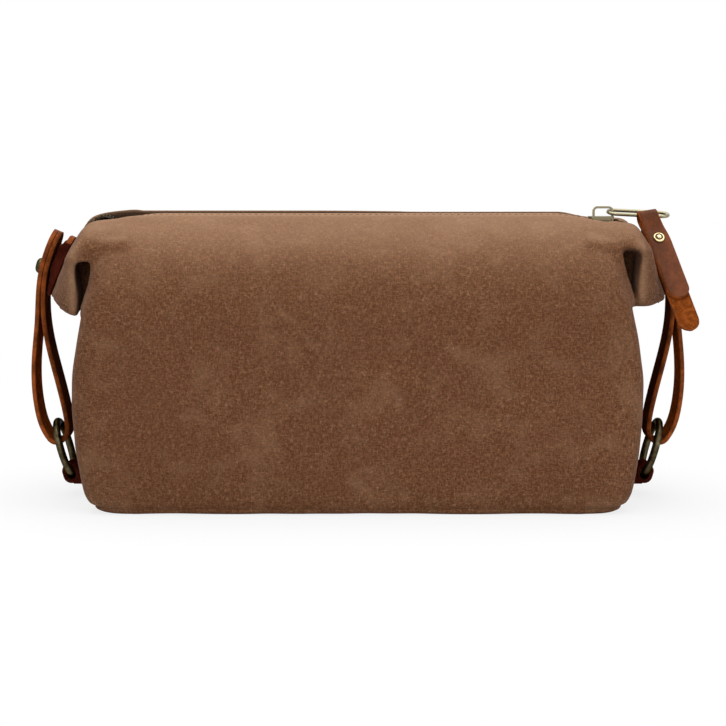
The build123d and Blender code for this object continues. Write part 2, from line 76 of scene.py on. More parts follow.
# the mouth and the zip
MOUTH = 146.0  # height of the mouth's folded edges
LEFT_CORNER = {"reach": 124.8, "radius": 20.2, "slope": math.radians(66.0)}
RIGHT_CORNER = {"reach": 133.0, "radius": 12.0, "slope": math.radians(70.0)}
MOUTH_DEPTH = 6.0  # from the mouth's edge to where the shell is open
TAPE_DEPTH = 5.5  # from the mouth's edge down to the tapes and teeth
TAPE_MIDDLE, TAPE_WIDTH = 3.6, 5.1  # from the zip's middle, and across one tape
TAPE_LOWEST, TOOTH_LOWEST = 126.5, 127.2  # heights where they end, down on the ears
TOOTH_MIDDLE = 1.1
TOOTH_SIZE = (0.0014, 0.0036, 0.0024)  # metres
RUN_TEETH, END_TEETH = (-116.0, 119.6), -117.0  # from and to, and the fixed end's last
END_RISE, RISE_START, RISE_RUN = 3.0, 121.0, 8.0  # the fixed end climbs above the mouth
# the tapes' long run parts when the slider moves, and their short end beyond it is fixed
TAPE_SPANS = {"": (-117.4, 200), "_end": (-200, -117.2)}

# the side straps: (distance from the middle, height) along the leather's middle line
STRAP_INNER = [
    (150.6, 137.5), (154.8, 127.0), (158.3, 116.0), (160.0, 103.0), (159.8, 91.0), (157.9, 78.0),
    (154.6, 64.0), (151.2, 50.0), (149.0, 38.0), (149.3, 31.8), (152.2, 28.2), (155.8, 28.0),
    (158.4, 30.2),
]
STRAP_OUTER = [
    (158.4, 30.2), (161.4, 35.5), (164.2, 46.0), (165.4, 59.0), (164.8, 75.0), (163.3, 90.0),
]
STRAP_STACK = 2.42  # between the two legs' middle lines where they lie together
STRAP_END = 10.0  # radius of the straps' round ends
STUD = (158.089, 116.873)
# outwards from the stud, and down the strap
STUD_OUT, STUD_DOWN = (0.953, 0.303), (0.303, -0.953)
HOLE_RADIUS, SLIT = 2.35, (0.5, 7.5)

# the leather pull
TAB_FOLD = Vector((150.721, -4.20628, 143.344))
TAB_AXIS = Vector((0.975652, 0.162802, 0.146965))
TAB_HANG = Vector((0.24, -0.68, -0.84)).normalized()
SLIDE_BACK = Vector((-2.6, -1.2, -0.4))  # the pull hangs a little nearer the slider
TAB_FRONT, TAB_BACK = 52.0, 70.0  # lengths of its two legs
TAB_JOIN = 10.0  # from the fold down to where the legs meet
TAB_FOLD_RADIUS = 1.7
TAB_NECK, TAB_WIDENS, TAB_SPREAD = 9.8, 1.8, 19.0
TAB_END = 5.8  # radius of its round ends
RIVET_DROP = 15.0  # from the fold to the rivet

# the cloth
LINING_WALL, POCKET_WALL = 0.6, 0.7
BASE_SEAM = 3.0  # height at which the base panel ends

# lines of stitches: from the zip's middle, from the side seam, and above the ear's hem
MOUTH_STITCH, SEAM_STITCH, EAR_STITCH = 10.6, 2.6, (3.2, 5.6)
# the stitches on leather and lining: pitch, and length, width and height, in metres
PATCH_PITCH, PATCH_STITCH = 0.003, (0.0021, 0.0007, 0.0006)
HEM_PITCH, HEM_STITCH = 0.003, (0.0021, 0.0006, 0.0006)


# ---- sizes and colours a user may change; sizes are in metres -------------------------
def length(label, default, text):
    return FloatProperty(name=label, default=default, min=0.0, unit="LENGTH", description=text)


def colour(label, default, text):
    return FloatVectorProperty(
        name=label, default=default, size=3, min=0.0, max=1.0, subtype="COLOR", description=text
    )


class KitBagSizes(PropertyGroup):
    grid_step: length("Canvas grid", 0.0015, "Spacing of the grid the canvas shell is drawn from")
    canvas_wall: length("Canvas wall", 0.0013, "Thickness of the canvas with its backing")
    wrinkle: length("Wrinkle", 0.0006, "Height of the soft rumples in the canvas")
    lining_inset: length("Lining inset", 0.0026, "Gap from the canvas face to the lining")
    stitch_pitch: length("Stitch pitch", 0.0032, "Distance between stitches")
    stitch_length: length("Stitch length", 0.0023, "Length of one stitch")
    stitch_thread: length("Thread", 0.0007, "Width of the sewing thread")
    tooth_pitch: length("Tooth pitch", 0.0030, "Distance between zip teeth on one side")
    tape_thickness: length("Tape", 0.0006, "Thickness of the zip tape")
    strap_width: length("Strap width", 0.020, "Width of the side straps")
    strap_leather: length("Strap leather", 0.0022, "Thickness of the strap leather")
    tab_leather: length("Pull leather", 0.0020, "Thickness of the zip pull's leather")
    edge_round: length("Cut edge", 0.0004, "Rounding of the leather's cut edges")


class KitBagColours(PropertyGroup):
    canvas: colour("Canvas", (0.219, 0.092, 0.041), "Ground colour of the canvas")
    # canvas_pale is also the colour of the painted top light on faces that point up
    canvas_pale: colour("Canvas fibre", (0.445, 0.270, 0.158), "Pale worn fibres of the canvas")
    canvas_deep: colour("Canvas shade", (0.095, 0.037, 0.016), "Deep colour between the threads")
    lining: colour("Lining", (0.045, 0.028, 0.018), "Cotton lining")
    # tape, darkened, is also the colour of the painted shade inside the mouth
    tape: colour("Zip tape", (0.035, 0.022, 0.014), "Woven zip tape")
    grain: colour("Leather grain", (0.135, 0.042, 0.017), "Oiled outer side of the leather")
    suede: colour("Leather flesh side", (0.27, 0.066, 0.012), "Rough inner side of the leather")
    edge: colour("Leather edge", (0.27, 0.066, 0.014), "Raw cut edge of the leather")
    red: colour("Red leather", (0.052, 0.009, 0.005), "Dark red leather of tabs and patches")
    thread: colour("Thread", (0.10, 0.055, 0.03), "Sewing thread")
    antique: colour("Antique brass", (0.075, 0.058, 0.030), "Aged brass of rings and studs")
    bright: colour("Bright brass", (0.60, 0.47, 0.26), "Polished brass of the rivet")
    slider: colour("Slider metal", (0.046, 0.040, 0.026), "Dark antique metal of the slider")
    teeth: colour("Teeth metal", (0.050, 0.042, 0.028), "Dark antique metal of the teeth")


def sizes():
    return bpy.context.scene.kit_bag_sizes


def colours():
    return bpy.context.scene.kit_bag_colours


# ---- node helpers ---------------------------------------------------------------------
class Nodes:
    """Adds nodes to one tree, with their inputs set or linked."""

    def __init__(self, tree):
        self.tree = tree

    def add(self, kind, values=None, **settings):
        node = self.tree.nodes.new(kind)
        for key, value in settings.items():
            setattr(node, key, value)
        for key, value in (values or {}).items():
            self.feed(node.inputs[key], value)
        return node

    def feed(self, socket, value):
        if isinstance(value, bpy.types.NodeSocket):
            self.tree.links.new(value, socket)
        elif socket.type == "RGBA" and len(value) == 3:
            socket.default_value = (*value, 1.0)
        else:
            socket.default_value = value

    def math(self, kind, a, b=0.0):
        return self.add("ShaderNodeMath", {0: a, 1: b}, operation=kind).outputs[0]

    def seen_outright(self):
        """1 for camera, glossy and transmission rays, else 0."""
        path = self.add("ShaderNodeLightPath").outputs
        seen = self.math("MAXIMUM", path["Is Camera Ray"], path["Is Glossy Ray"])
        return self.math("MAXIMUM", seen, path["Is Transmission Ray"])


class Shader(Nodes):
    """Builds one material, a node at a time."""

    def __init__(self, name):
        self.material = bpy.data.materials.new(name)
        self.material.use_nodes = True
        super().__init__(self.material.node_tree)
        self.tree.nodes.clear()
        self.out = self.add("ShaderNodeOutputMaterial")

    def object_place(self):
        return self.add("ShaderNodeTexCoord").outputs["Object"]

    def uv(self):
        return self.add("ShaderNodeUVMap", uv_map="flat").outputs["UV"]

    def mark(self, name):
        return self.add("ShaderNodeAttribute", attribute_name=name).outputs["Fac"]

    def stretched(self, source, scale):
        return self.add("ShaderNodeMapping", {"Vector": source, "Scale": scale}).outputs["Vector"]

    def noise(self, source, scale, detail=3.0, rough=0.55, distortion=0.0):
        values = {"Vector": source, "Scale": scale, "Detail": detail, "Roughness": rough,
                  "Distortion": distortion}
        return self.add("ShaderNodeTexNoise", values).outputs["Fac"]

    def cells(self, source, scale, feature="F1"):
        node = self.add("ShaderNodeTexVoronoi", {"Vector": source, "Scale": scale}, feature=feature)
        return node.outputs["Distance"]

    def weave(self, source, values):
        """Crossing threads: highest where a warp thread and a weft thread cross."""
        rows, picks = (
            self.add("ShaderNodeTexWave", {"Vector": source, **values}, bands_direction=way)
            for way in "XY"
        )
        return self.math("MULTIPLY", rows.outputs["Fac"], picks.outputs["Fac"])

    def ramp(self, value, low, high, to_low=0.0, to_high=1.0):
        values = {"Value": value, "From Min": low, "From Max": high, "To Min": to_low,
                  "To Max": to_high}
        node = self.add("ShaderNodeMapRange", values, interpolation_type="SMOOTHSTEP")
        return node.outputs["Result"]

    def blend(self, factor, a, b):
        return self.add("ShaderNodeMix", {0: factor, 6: a, 7: b}, data_type="RGBA").outputs[2]

    def dye(self, mask, low, high, base, dark, pale, *layers):
        """A base colour from dark to pale by a mask, with further colours laid over it.

        Each layer is a mask, its low and high, the cover at each, and the colour.
        """
        shade = self.blend(self.ramp(mask, low, high), tint(base, dark), tint(base, pale))
        for over, start, end, at_start, at_end, tone in layers:
            shade = self.blend(self.ramp(over, start, end, at_start, at_end), shade, tone)
        return shade

    def bump(self, height, distance, strength=1.0, under=None):
        values = {"Height": height, "Distance": distance, "Strength": strength}
        if under is not None:
            values["Normal"] = under
        return self.add("ShaderNodeBump", values).outputs["Normal"]

    def surface(self, colour_value, roughness, normal, **constants):
        values = {"Base Color": colour_value, "Roughness": roughness, "Normal": normal}
        values.update((key.replace("_", " "), value) for key, value in constants.items())
        shader = self.add("ShaderNodeBsdfPrincipled", values)
        self.tree.links.new(shader.outputs[0], self.out.inputs["Surface"])
        return self.material


def tint(base, factor):
    return tuple(min(1.0, c * factor) for c in base)


def canvas_material(name):
    """Washed plain-weave canvas, with worn edges, painted top light on faces that point up, and
    painted shade inside the mouth.
    """
    s, c = Shader(name), colours()
    place, flat = s.object_place(), s.uv()
    warp = s.noise(s.stretched(flat, (1500.0, 420.0, 1.0)), 1.0, 2.0)
    weft = s.noise(s.stretched(flat, (420.0, 1500.0, 1.0)), 1.0, 2.0)
    threads = s.math("MAXIMUM", warp, weft)
    weave = s.weave(flat, {"Scale": 340.0, "Distortion": 1.2, "Detail": 1.0, "Detail Scale": 2.0})
    speck = s.noise(place, 1100.0, 2.0, 0.7)
    lump = s.noise(place, 520.0, 3.0, 0.7)
    mottle = s.noise(place, 55.0, 5.0, 0.62, 0.6)
    cloud = s.noise(place, 11.0, 3.0, 0.5, 0.3)
    ground = s.blend(s.ramp(threads, 0.42, 0.70), c.canvas_deep, c.canvas)
    for over, start, end, at_start, at_end, tone in (
        (lump, 0.40, 0.68, 0.30, 0.0, c.canvas_deep),
        (speck, 0.52, 0.80, 0.0, 0.42, c.canvas_pale),
        (lump, 0.54, 0.78, 0.0, 0.36, c.canvas_pale),
        (mottle, 0.46, 0.74, 0.0, 0.16, c.canvas_pale),
        (cloud, 0.40, 0.62, 0.14, 0.0, c.canvas_deep),
    ):
        ground = s.blend(s.ramp(over, start, end, at_start, at_end), ground, tone)
    # paler by the mark of real wear on edges, corners and feet and of painted top light on faces
    # that point up
    ground = s.blend(s.math("MULTIPLY", s.mark("pale_cover"), 0.55), ground, c.canvas_pale)
    # painted shade: darker by the mark inside the mouth, in the zip tape's colour
    ground = s.blend(s.math("MULTIPLY", s.mark("painted_mouth_shade"), 0.85), ground, tint(c.tape, 0.8))
    normal = s.bump(s.math("ADD", s.math("MULTIPLY", weave, 0.5), threads), 0.00018, 0.5)
    normal = s.bump(s.math("ADD", lump, mottle), 0.0007, 0.35, normal)
    return s.surface(ground, s.ramp(speck, 0.3, 0.8, 0.86, 0.98), normal, Sheen_Weight=0.03,
                     Sheen_Roughness=0.5, Specular_IOR_Level=0.10)


def lining_material(name):
    """Plain woven cotton."""
    s, base = Shader(name), colours().lining
    weave = s.weave(s.uv(), {"Scale": 420.0, "Distortion": 0.8})
    speck = s.noise(s.object_place(), 700.0, 2.0)
    shade = s.dye(weave, 0.1, 0.7, base, 0.55, 1.25,
                  (speck, 0.45, 0.75, 0.0, 0.4, tint(base, 1.9)))
    return s.surface(shade, s.ramp(speck, 0.3, 0.7, 0.8, 0.95), s.bump(weave, 0.0002, 0.6),
                     Sheen_Weight=0.1)


def tape_material(name):
    """Herringbone twill of a zip tape."""
    s, base = Shader(name), colours().tape
    split = s.add("ShaderNodeSeparateXYZ", {"Vector": s.uv()}).outputs
    along = s.math("ADD", split["X"], s.math("PINGPONG", split["Y"], 0.0016))
    rib = s.math("SINE", s.math("MULTIPLY", along, 2 * math.pi / 0.0011))
    fibre = s.noise(s.object_place(), 1400.0, 2.0)
    shade = s.dye(rib, -0.7, 0.9, base, 0.5, 1.7,
                  (fibre, 0.5, 0.75, 0.0, 0.5, tint(base, 2.6)))
    return s.surface(shade, 0.85, s.bump(rib, 0.00015, 0.7), Sheen_Weight=0.02,
                     Specular_IOR_Level=0.12)


def grain_material(name, base, wear_tint, gloss, shine):
    """Oiled leather: pebbled grain, fine creases, uneven dye and rubbed places."""
    s = Shader(name)
    place = s.object_place()
    pebble = s.cells(place, 1150.0)
    crease = s.cells(s.stretched(place, (1.0, 1.0, 0.45)), 260.0, "DISTANCE_TO_EDGE")
    pores = s.noise(place, 2600.0, 2.0, 0.6)
    uneven = s.noise(place, 70.0, 4.0, 0.6, 0.5)
    cloud = s.noise(place, 22.0, 3.0)
    shade = s.dye(uneven, 0.35, 0.70, base, 0.68, 1.35, (cloud, 0.48, 0.72, 0.0, 0.35, wear_tint),
                  (crease, 0.0, 0.05, 0.2, 0.0, tint(base, 0.3)))
    rough = s.ramp(uneven, 0.3, 0.75, gloss - 0.1, gloss + 0.14)
    normal = s.bump(s.math("ADD", pebble, s.math("MULTIPLY", pores, 0.5)), 0.00016, 0.45)
    normal = s.bump(s.ramp(crease, 0.0, 0.12), 0.0001, 0.25, normal)
    return s.surface(shade, rough, normal, Specular_IOR_Level=shine)


def suede_material(name):
    """Rough flesh side of the leather: short fibres lying every way."""
    s, base = Shader(name), colours().suede
    place = s.object_place()
    nap = s.noise(place, 1500.0, 4.0, 0.7, 0.8)
    tuft = s.noise(place, 320.0, 4.0, 0.65, 0.5)
    cloud = s.noise(place, 40.0, 3.0)
    shade = s.dye(tuft, 0.36, 0.66, base, 0.50, 1.25,
                  (nap, 0.45, 0.75, 0.0, 0.55, tint(base, 2.0)),
                  (cloud, 0.4, 0.7, 0.35, 0.0, tint(base, 0.42)))
    normal = s.bump(tuft, 0.0006, 0.4, s.bump(nap, 0.00035, 0.6))
    return s.surface(shade, 0.95, normal, Specular_IOR_Level=0.0)


def edge_material(name):
    """Raw cut edge: layered fibres running along the strap."""
    s, base = Shader(name), colours().edge
    place = s.object_place()
    fibre = s.noise(place, 1800.0, 3.0, 0.6, 0.4)
    stain = s.noise(place, 150.0, 4.0, 0.6)
    shade = s.dye(stain, 0.36, 0.66, base, 0.45, 1.15,
                  (fibre, 0.5, 0.75, 0.0, 0.45, tint(base, 1.7)))
    return s.surface(shade, s.ramp(stain, 0.3, 0.7, 0.6, 0.9), s.bump(fibre, 0.0002, 0.5),
                     Specular_IOR_Level=0.05)


def metal_material(name, base, bright, roughness, pale_cover, rim):
    """Plated metal with dull tarnish in patches and brighter rubbed places.

    rim is how much of its gloss the metal keeps where it is seen edge-on.
    """
    s = Shader(name)
    place = s.object_place()
    tarnish = s.noise(place, 330.0, 4.0, 0.65, 0.4)
    scratch = s.noise(s.stretched(place, (1.0, 9.0, 1.0)), 700.0, 2.0, 0.5)
    rub = s.noise(place, 140.0, 3.0, 0.6)
    shade = s.dye(tarnish, 0.36, 0.66, base, 0.6, 1.25, (rub, 0.52, 0.72, 0.0, pale_cover, bright))
    rough = s.ramp(tarnish, 0.3, 0.7, roughness - 0.08, roughness + 0.16)
    normal = s.bump(tarnish, 0.00006, 0.5, s.bump(scratch, 0.00003, 0.5))
    return s.surface(shade, rough, normal, Metallic=1.0, Specular_Tint=(rim, rim, rim * 0.9, 1.0))


def thread_material(name):
    """Twisted sewing thread."""
    s, base = Shader(name), colours().thread
    twist = s.noise(s.object_place(), 2400.0, 2.0)
    shade = s.dye(twist, 0.4, 0.65, base, 0.6, 1.6)
    return s.surface(shade, 0.75, s.bump(twist, 0.0001, 0.5), Specular_IOR_Level=0.12)


def finish(key):
    """The material of one finish, made on first use."""
    c = colours()
    makers = {
        "washed_canvas": (canvas_material,),
        "cotton_lining": (lining_material,),
        "zip_tape_twill": (tape_material,),
        "leather_grain": (grain_material, c.grain, tint(c.edge, 0.5), 0.56, 0.06),
        "strap_grain": (grain_material, tint(c.grain, 0.7), tint(c.edge, 0.35), 0.7, 0.0),
        "red_leather": (grain_material, c.red, tint(c.red, 2.2), 0.6, 0.0),
        "leather_suede": (suede_material,),
        "leather_edge": (edge_material,),
        "sewing_thread": (thread_material,),
        "aged_brass": (metal_material, c.antique, tint(c.bright, 0.40), 0.34, 0.5, 0.25),
        "polished_brass": (metal_material, c.bright, (0.95, 0.86, 0.62), 0.22, 0.5, 1.0),
        "slider_metal": (metal_material, c.slider, (0.15, 0.135, 0.10), 0.30, 0.7, 0.25),
        "dark_teeth": (metal_material, c.teeth, (0.17, 0.15, 0.10), 0.4, 0.6, 0.15),
    }
    maker, *given = makers[key]
    return bpy.data.materials.get(key) or maker(key, *given)


# ---- mesh helpers ---------------------------------------------------------------------
@contextmanager
def editing(mesh):
    """Opens a mesh for bmesh operators, then writes it back."""
    shell = bmesh.new()
    shell.from_mesh(mesh)
    yield shell
    shell.to_mesh(mesh)
    shell.free()


def scene_object(name, data):
    made = bpy.data.objects.new(name, data)
    bpy.context.scene.collection.objects.link(made)
    return made


def mesh_object(name, points, faces, materials):
    """A new smooth-shaded object from points in millimetres."""
    mesh = bpy.data.meshes.new(name)
    mesh.from_pydata((np.asarray(points) * MM).tolist(), [], faces)
    for key in materials:
        mesh.materials.append(finish(key))
    mesh.polygons.foreach_set("use_smooth", [True] * len(mesh.polygons))
    mesh.update()
    return scene_object(name, mesh)


def settle(made):
    """Bakes an object's modifiers into its mesh."""
    graph = bpy.context.evaluated_depsgraph_get()
    mesh = bpy.data.meshes.new_from_object(made.evaluated_get(graph), depsgraph=graph)
    made.modifiers.clear()
    old, made.data = made.data, mesh
    bpy.data.meshes.remove(old)
    mesh.name = made.name


def read(items, key, kind, width=1):
    """One property of every vertex, face or corner of a mesh, as an array."""
    values = np.empty(len(items) * width, kind)
    items.foreach_get(key, values)
    return values.reshape(-1, width) if width > 1 else values


def flat_map(made):
    """A UV map in metres, laid flat along each face's main direction."""
    mesh = made.data
    co = read(mesh.vertices, "co", np.float32, 3)[read(mesh.loops, "vertex_index", np.int32)]
    normal = np.abs(read(mesh.polygons, "normal", np.float32, 3))
    normal = np.repeat(normal, read(mesh.polygons, "loop_total", np.int32), axis=0)
    u = np.where(normal[:, 0] > 0.72, co[:, 1], co[:, 0])
    v = np.where(normal[:, 2] > 0.8, co[:, 1], co[:, 2])
    layer = mesh.uv_layers.new(name="flat")
    layer.data.foreach_set("uv", np.stack([u, v], 1).ravel())
    return made


def distances(path):
    """Length along a path up to each of its points."""
    return np.concatenate([[0], np.cumsum(np.linalg.norm(np.diff(path, axis=0), axis=1))])


def smooth_curve(points, share=None, step=1.2):
    """Points on a natural cubic spline through the given points, and its directions."""
    p = np.asarray(points, float)
    knots = distances(p)
    n, h = len(p), np.diff(knots)
    a, b = np.zeros((n, n)), np.zeros((n, p.shape[1]))
    a[0, :2], a[-1, -2:] = (1, -1), (-1, 1)
    for i in range(1, n - 1):
        a[i, i - 1 : i + 2] = h[i - 1], 2 * (h[i - 1] + h[i]), h[i]
        b[i] = 6 * ((p[i + 1] - p[i]) / h[i] - (p[i] - p[i - 1]) / h[i - 1])
    m = np.linalg.solve(a, b)
    if share is None:
        share = np.linspace(0, 1, max(2, int(knots[-1] / step) + 1))
    t = np.asarray(share) * knots[-1]
    k = np.clip(np.searchsorted(knots, t, "right") - 1, 0, n - 2)
    left, right, width = (t - knots[k])[:, None], (knots[k + 1] - t)[:, None], h[k][:, None]
    at = (
        (m[k] * right**3 + m[k + 1] * left**3) / (6 * width)
        + (p[k] / width - m[k] * width / 6) * right
        + (p[k + 1] / width - m[k + 1] * width / 6) * left
    )
    along = (
        (m[k + 1] * left**2 - m[k] * right**2) / (2 * width)
        + (p[k + 1] - p[k]) / width
        - (m[k + 1] - m[k]) * width / 6
    )
    return at, along / np.linalg.norm(along, axis=1, keepdims=True)


def grid_faces(rows, columns, closed=True):
    """Quads between neighbouring rows of points; a closed row joins its ends."""
    return [
        (i * columns + j, i * columns + k, (i + 1) * columns + k, (i + 1) * columns + j)
        for i in range(rows - 1)
        for j, k in ((j, (j + 1) % columns) for j in range(columns - (not closed)))
    ]


def round_end(gone, radius, width, least):
    """Widths of a strip with a half-round end. gone is the distance from its tip."""
    chord = 2 * np.sqrt(np.maximum(radius**2 - (radius - gone) ** 2, least))
    return np.where(gone < radius, chord, width)


def leather_strip(name, path, across, out, width, thick, materials, rounding=None):
    """A strip with softened cut edges. across is its width direction and out its grain side.

    The three materials are for the grain side, the flesh side and the cut edges.
    """
    path, count = np.asarray(path, float), len(path)
    width = np.broadcast_to(np.asarray(width, float), count)
    thick = np.broadcast_to(np.asarray(thick, float), count)
    across = np.broadcast_to(np.asarray(across, float), (count, 3))
    out = np.broadcast_to(np.asarray(out, float), (count, 3))
    rounding = rounding or sizes().edge_round / MM
    lanes = 8
    ring = []  # one cross-section: place across, side, and how far round the cut edge
    for way in (1, -1):
        ring += [(way * (2 * k / lanes - 1), way, 0) for k in range(lanes + 1)]
        ring += [(way, way, turn) for turn in (0.25, 0.75, 1.0)]
    kinds = [0] * lanes + [2] * 4 + [1] * lanes + [2] * 4
    size = len(ring)
    points, flat = np.empty((count, size, 3)), np.empty((count, size, 2))
    arc = distances(path)
    r = np.minimum(rounding, np.minimum(width, thick) * 0.45)
    for i, (a, b, turn) in enumerate(ring):
        bend = turn * math.pi / 2
        side = a * (width / 2 - r * (1 - math.sin(bend)))
        height = b * (thick / 2 - r * (1 - math.cos(bend)))
        points[:, i] = path + across * side[:, None] + out * height[:, None]
        flat[:, i] = np.stack([arc, side + (0 if b > 0 else 2 * width)], 1)
    faces = grid_faces(count, size)
    faces.append(tuple(range(size - 1, -1, -1)))
    faces.append(tuple((count - 1) * size + j for j in range(size)))
    made = mesh_object(name, points.reshape(-1, 3), faces, materials)
    mesh = made.data
    mesh.polygons.foreach_set("material_index", kinds * (count - 1) + [2, 2])
    flat = flat.reshape(-1, 2)[read(mesh.loops, "vertex_index", np.int32)] * MM
    mesh.uv_layers.new(name="flat").data.foreach_set("uv", flat.astype(np.float32).ravel())
    with editing(mesh) as shell:
        bmesh.ops.recalc_face_normals(shell, faces=shell.faces)
    return made


def lathe(name, profile, place, materials, second=()):
    """A turned piece: profile is (radius, height) pairs in mm, from the axis back to it.

    The profile's runs listed in second get the second material.
    """
    segments = 32
    turns = [2 * math.pi * k / segments for k in range(segments)]
    points = [
        tuple(place @ Vector((r * math.cos(a), r * math.sin(a), h)))
        for r, h in profile for a in turns
    ]
    made = mesh_object(name, points, grid_faces(len(profile), segments), materials)
    for face in made.data.polygons:
        face.material_index = int(face.index // segments in second)
    with editing(made.data) as shell:
        bmesh.ops.remove_doubles(shell, verts=shell.verts, dist=1e-6)
        bmesh.ops.recalc_face_normals(shell, faces=shell.faces)
    return flat_map(made)


def softened_copy(name, node, materials, raw):
    """A copy of a node's shape with softened edges. Faces that raw picks get the edge finish."""
    made = scene_object(name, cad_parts[node].data.copy())
    mesh = made.data
    for layer in list(mesh.uv_layers):
        mesh.uv_layers.remove(layer)
    with editing(mesh) as shell:
        bmesh.ops.remove_doubles(shell, verts=shell.verts, dist=2e-6)
        bmesh.ops.dissolve_limit(shell, angle_limit=math.radians(3), verts=shell.verts,
                                 edges=shell.edges)
        sharp = [e for e in shell.edges if len(e.link_faces) == 2 and e.calc_face_angle(0) > 0.6]
        bmesh.ops.bevel(shell, geom=sharp, offset=0.35 * MM, segments=2, profile=0.6,
                        affect="EDGES")
        bmesh.ops.recalc_face_normals(shell, faces=shell.faces)
        for face in shell.faces:
            face.smooth = True
            face.material_index = int(raw(face.normal))
    mesh.materials.clear()
    for key in materials:
        mesh.materials.append(finish(key))
    return flat_map(made)


def dress(made, body, slot_name, *nodes):
    """Rides a piece on a body, in place of the named nodes."""
    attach(made, body)
    if nodes:
        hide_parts(*nodes)


def dress_zip(made, slot_name, node, part):
    """Rides a piece of the zip on the bag. The long run parts, where the slider passes, get a mesh
    of their own.
    """
    dress(made, "bag", slot_name, node)
    if not part:
        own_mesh(made)


# ---- the canvas shell's form -----------------------------------------------------------
FACE, BELLY = 62.8, 1.6  # half the depth of the body, and how far its faces bulge
ROOF_EDGE, ROOF_NORMAL = (64, 126.2), (0.345, 0.9386)
EAR_HALF, EAR_HEM = 46, 99.6  # half the ear's width, and the height of its lower hem
EAR_LIFT = 4.5  # the right ear is folded a little higher
HOLLOW_TOP, HOLLOW_END, HOLLOW_INNER = 123.0, 95.0, 24.0
DENT_AT, DENT_DEPTH, DENT_SIZE = (149.0, -21.5, 119.5), 1.3, 8.0
SEAM_LEVEL, SEAM_DEPTH = 3.2, 0.8  # the groove round the base
SLOT_HALF, SLOT_DEPTH, SLOT_FLOOR = 5.6, 7.2, 127.6  # the mouth between its folded edges

# (height, half length) of the body; the lengths are then smoothed over 19 mm
HALF_LENGTHS = (
    (-6, 131.5), (0, 132.0), (6, 133.4), (16, 136.0), (30, 138.1), (50, 139.5), (66, 139.3),
    (80, 137.4), (92, 135.4), (108, 132.6), (124, 130.0), (150, 126.0),
)
LEVELS = np.linspace(-8, 156, 165)
SOFTEN = np.hanning(19) / np.hanning(19).sum()
SMOOTH_LENGTHS = np.convolve(
    np.interp(np.linspace(-16, 164, 181), *zip(*HALF_LENGTHS)), SOFTEN, "same"
)[8:-8]

# from, to, height and width of each crease, for the |x|, |y| quarter of the bag
CREASES = (
    ((140.5, 45.0, 124.0), (125.0, 15.0, 139.5), 1.1, 2.6),
    ((131.0, 57.0, 127.5), (104.0, 55.0, 131.0), 1.2, 3.2),
    ((131.0, 46.0, 130.5), (112.0, 36.0, 137.0), -1.3, 5.5),
    ((131.0, 60.5, 121.0), (135.5, 63.0, 96.0), 0.5, 2.2),
    ((126.0, 62.0, 112.0), (108.0, 63.0, 96.0), 0.7, 6.0),
)


def smooth_max(a, b, k):
    h = np.maximum(k - np.abs(a - b), 0) / k
    return np.maximum(a, b) + h * h * k / 4


def smooth_min(a, b, k):
    return -smooth_max(-a, -b, k)


def ease(t):
    """From 0 to 1 with a soft start and a soft end."""
    t = np.clip(t, 0, 1)
    return t * t * (3 - 2 * t)


def rumple(x, y, z, seed, scale):
    """Smooth noise of about unit height, from a few tilted waves."""
    rng = np.random.default_rng(seed)
    total = 0.0
    for _ in range(7):
        w = rng.normal(size=3)
        w *= rng.uniform(0.6, 1.6) * 2 * math.pi / scale / np.linalg.norm(w)
        total = total + np.sin(w[0] * x + w[1] * y + w[2] * z + rng.uniform(0, 6.28))
    return total / 3.0


def crest_line(x, z):
    """Signed distance outside the zip's line and the crests of the ears, seen from the front."""
    left = x < 0
    reach, radius, slope = (np.where(left, LEFT_CORNER[key], RIGHT_CORNER[key])
                            for key in ("reach", "radius", "slope"))
    u, w = np.abs(x) - reach, z - (MOUTH - radius)
    sin, cos = np.sin(slope), np.cos(slope)
    flat, crest = w - radius, u * sin + w * cos - radius
    in_arc = (u > 0) & (u * cos - w * sin < 0)
    return np.where(in_arc, np.hypot(u, w) - radius, np.maximum(flat, crest))


def lip_drop(x, y):
    """How far the mouth's folded edge sits below the zip's crest; the back edge stands proud."""
    near = np.exp(-np.clip((np.abs(y) - 6.0) / np.where(x > 0, 15.0, 10.0), 0, 9) ** 2)
    front = 3.9 * ease((-x - 98) / 28) + 6.4 * ease((x - 98) / 34) + 0.3
    back = 4.6 * ease((x - 102) / 18) - 1.1 * ease((-x + 40) / 60) * ease((x + 134) / 12) - 0.4
    return near * np.where(y < 0, front, back)


def hem_height(ay, lift):
    """Height of the ear's lower hem at a distance from the bag's middle plane."""
    return EAR_HEM + (lift * 1.5 - 5.5) * (ay / EAR_HALF) ** 1.5


def ear_form(x, y, z, lift, crest, top):
    """The folded ears: a flap at each end that narrows towards its front and back folds."""
    ax, ay = np.abs(x), np.abs(y)
    end_x = np.where(x < 0, 143.3, 144.3)
    end_z = np.where(x < 0, 134.0, 138.1)
    fall = np.where(x < 0, 0.4452, 0.3640)
    tip = end_x - (z - end_z) * fall
    fold = np.minimum(141.8 - np.maximum(0, z - 123 - lift) * 0.66, tip - 1)
    reach, depth = tip - fold, 36.0
    share = (EAR_HALF - ay) / depth
    face = (ax - fold - reach * share) / np.sqrt(1 + (reach / depth) ** 2)
    puff = np.sin(np.pi * np.clip(share, 0, 1)) * np.clip((z - 92) / 14, 0, 1)
    face = face - 1.9 * puff * np.clip((140 - z) / 12, 0, 1)
    ear = smooth_max(face, crest + lip_drop(x, y) * (z > 120), 4.5)
    ear = smooth_max(ear, ay - EAR_HALF - 0.8, 5)
    ear = smooth_max(ear, top, 4)
    ear = smooth_max(ear, hem_height(ay, lift) - z, 6)
    return smooth_max(ear, 112 - ax, 3)


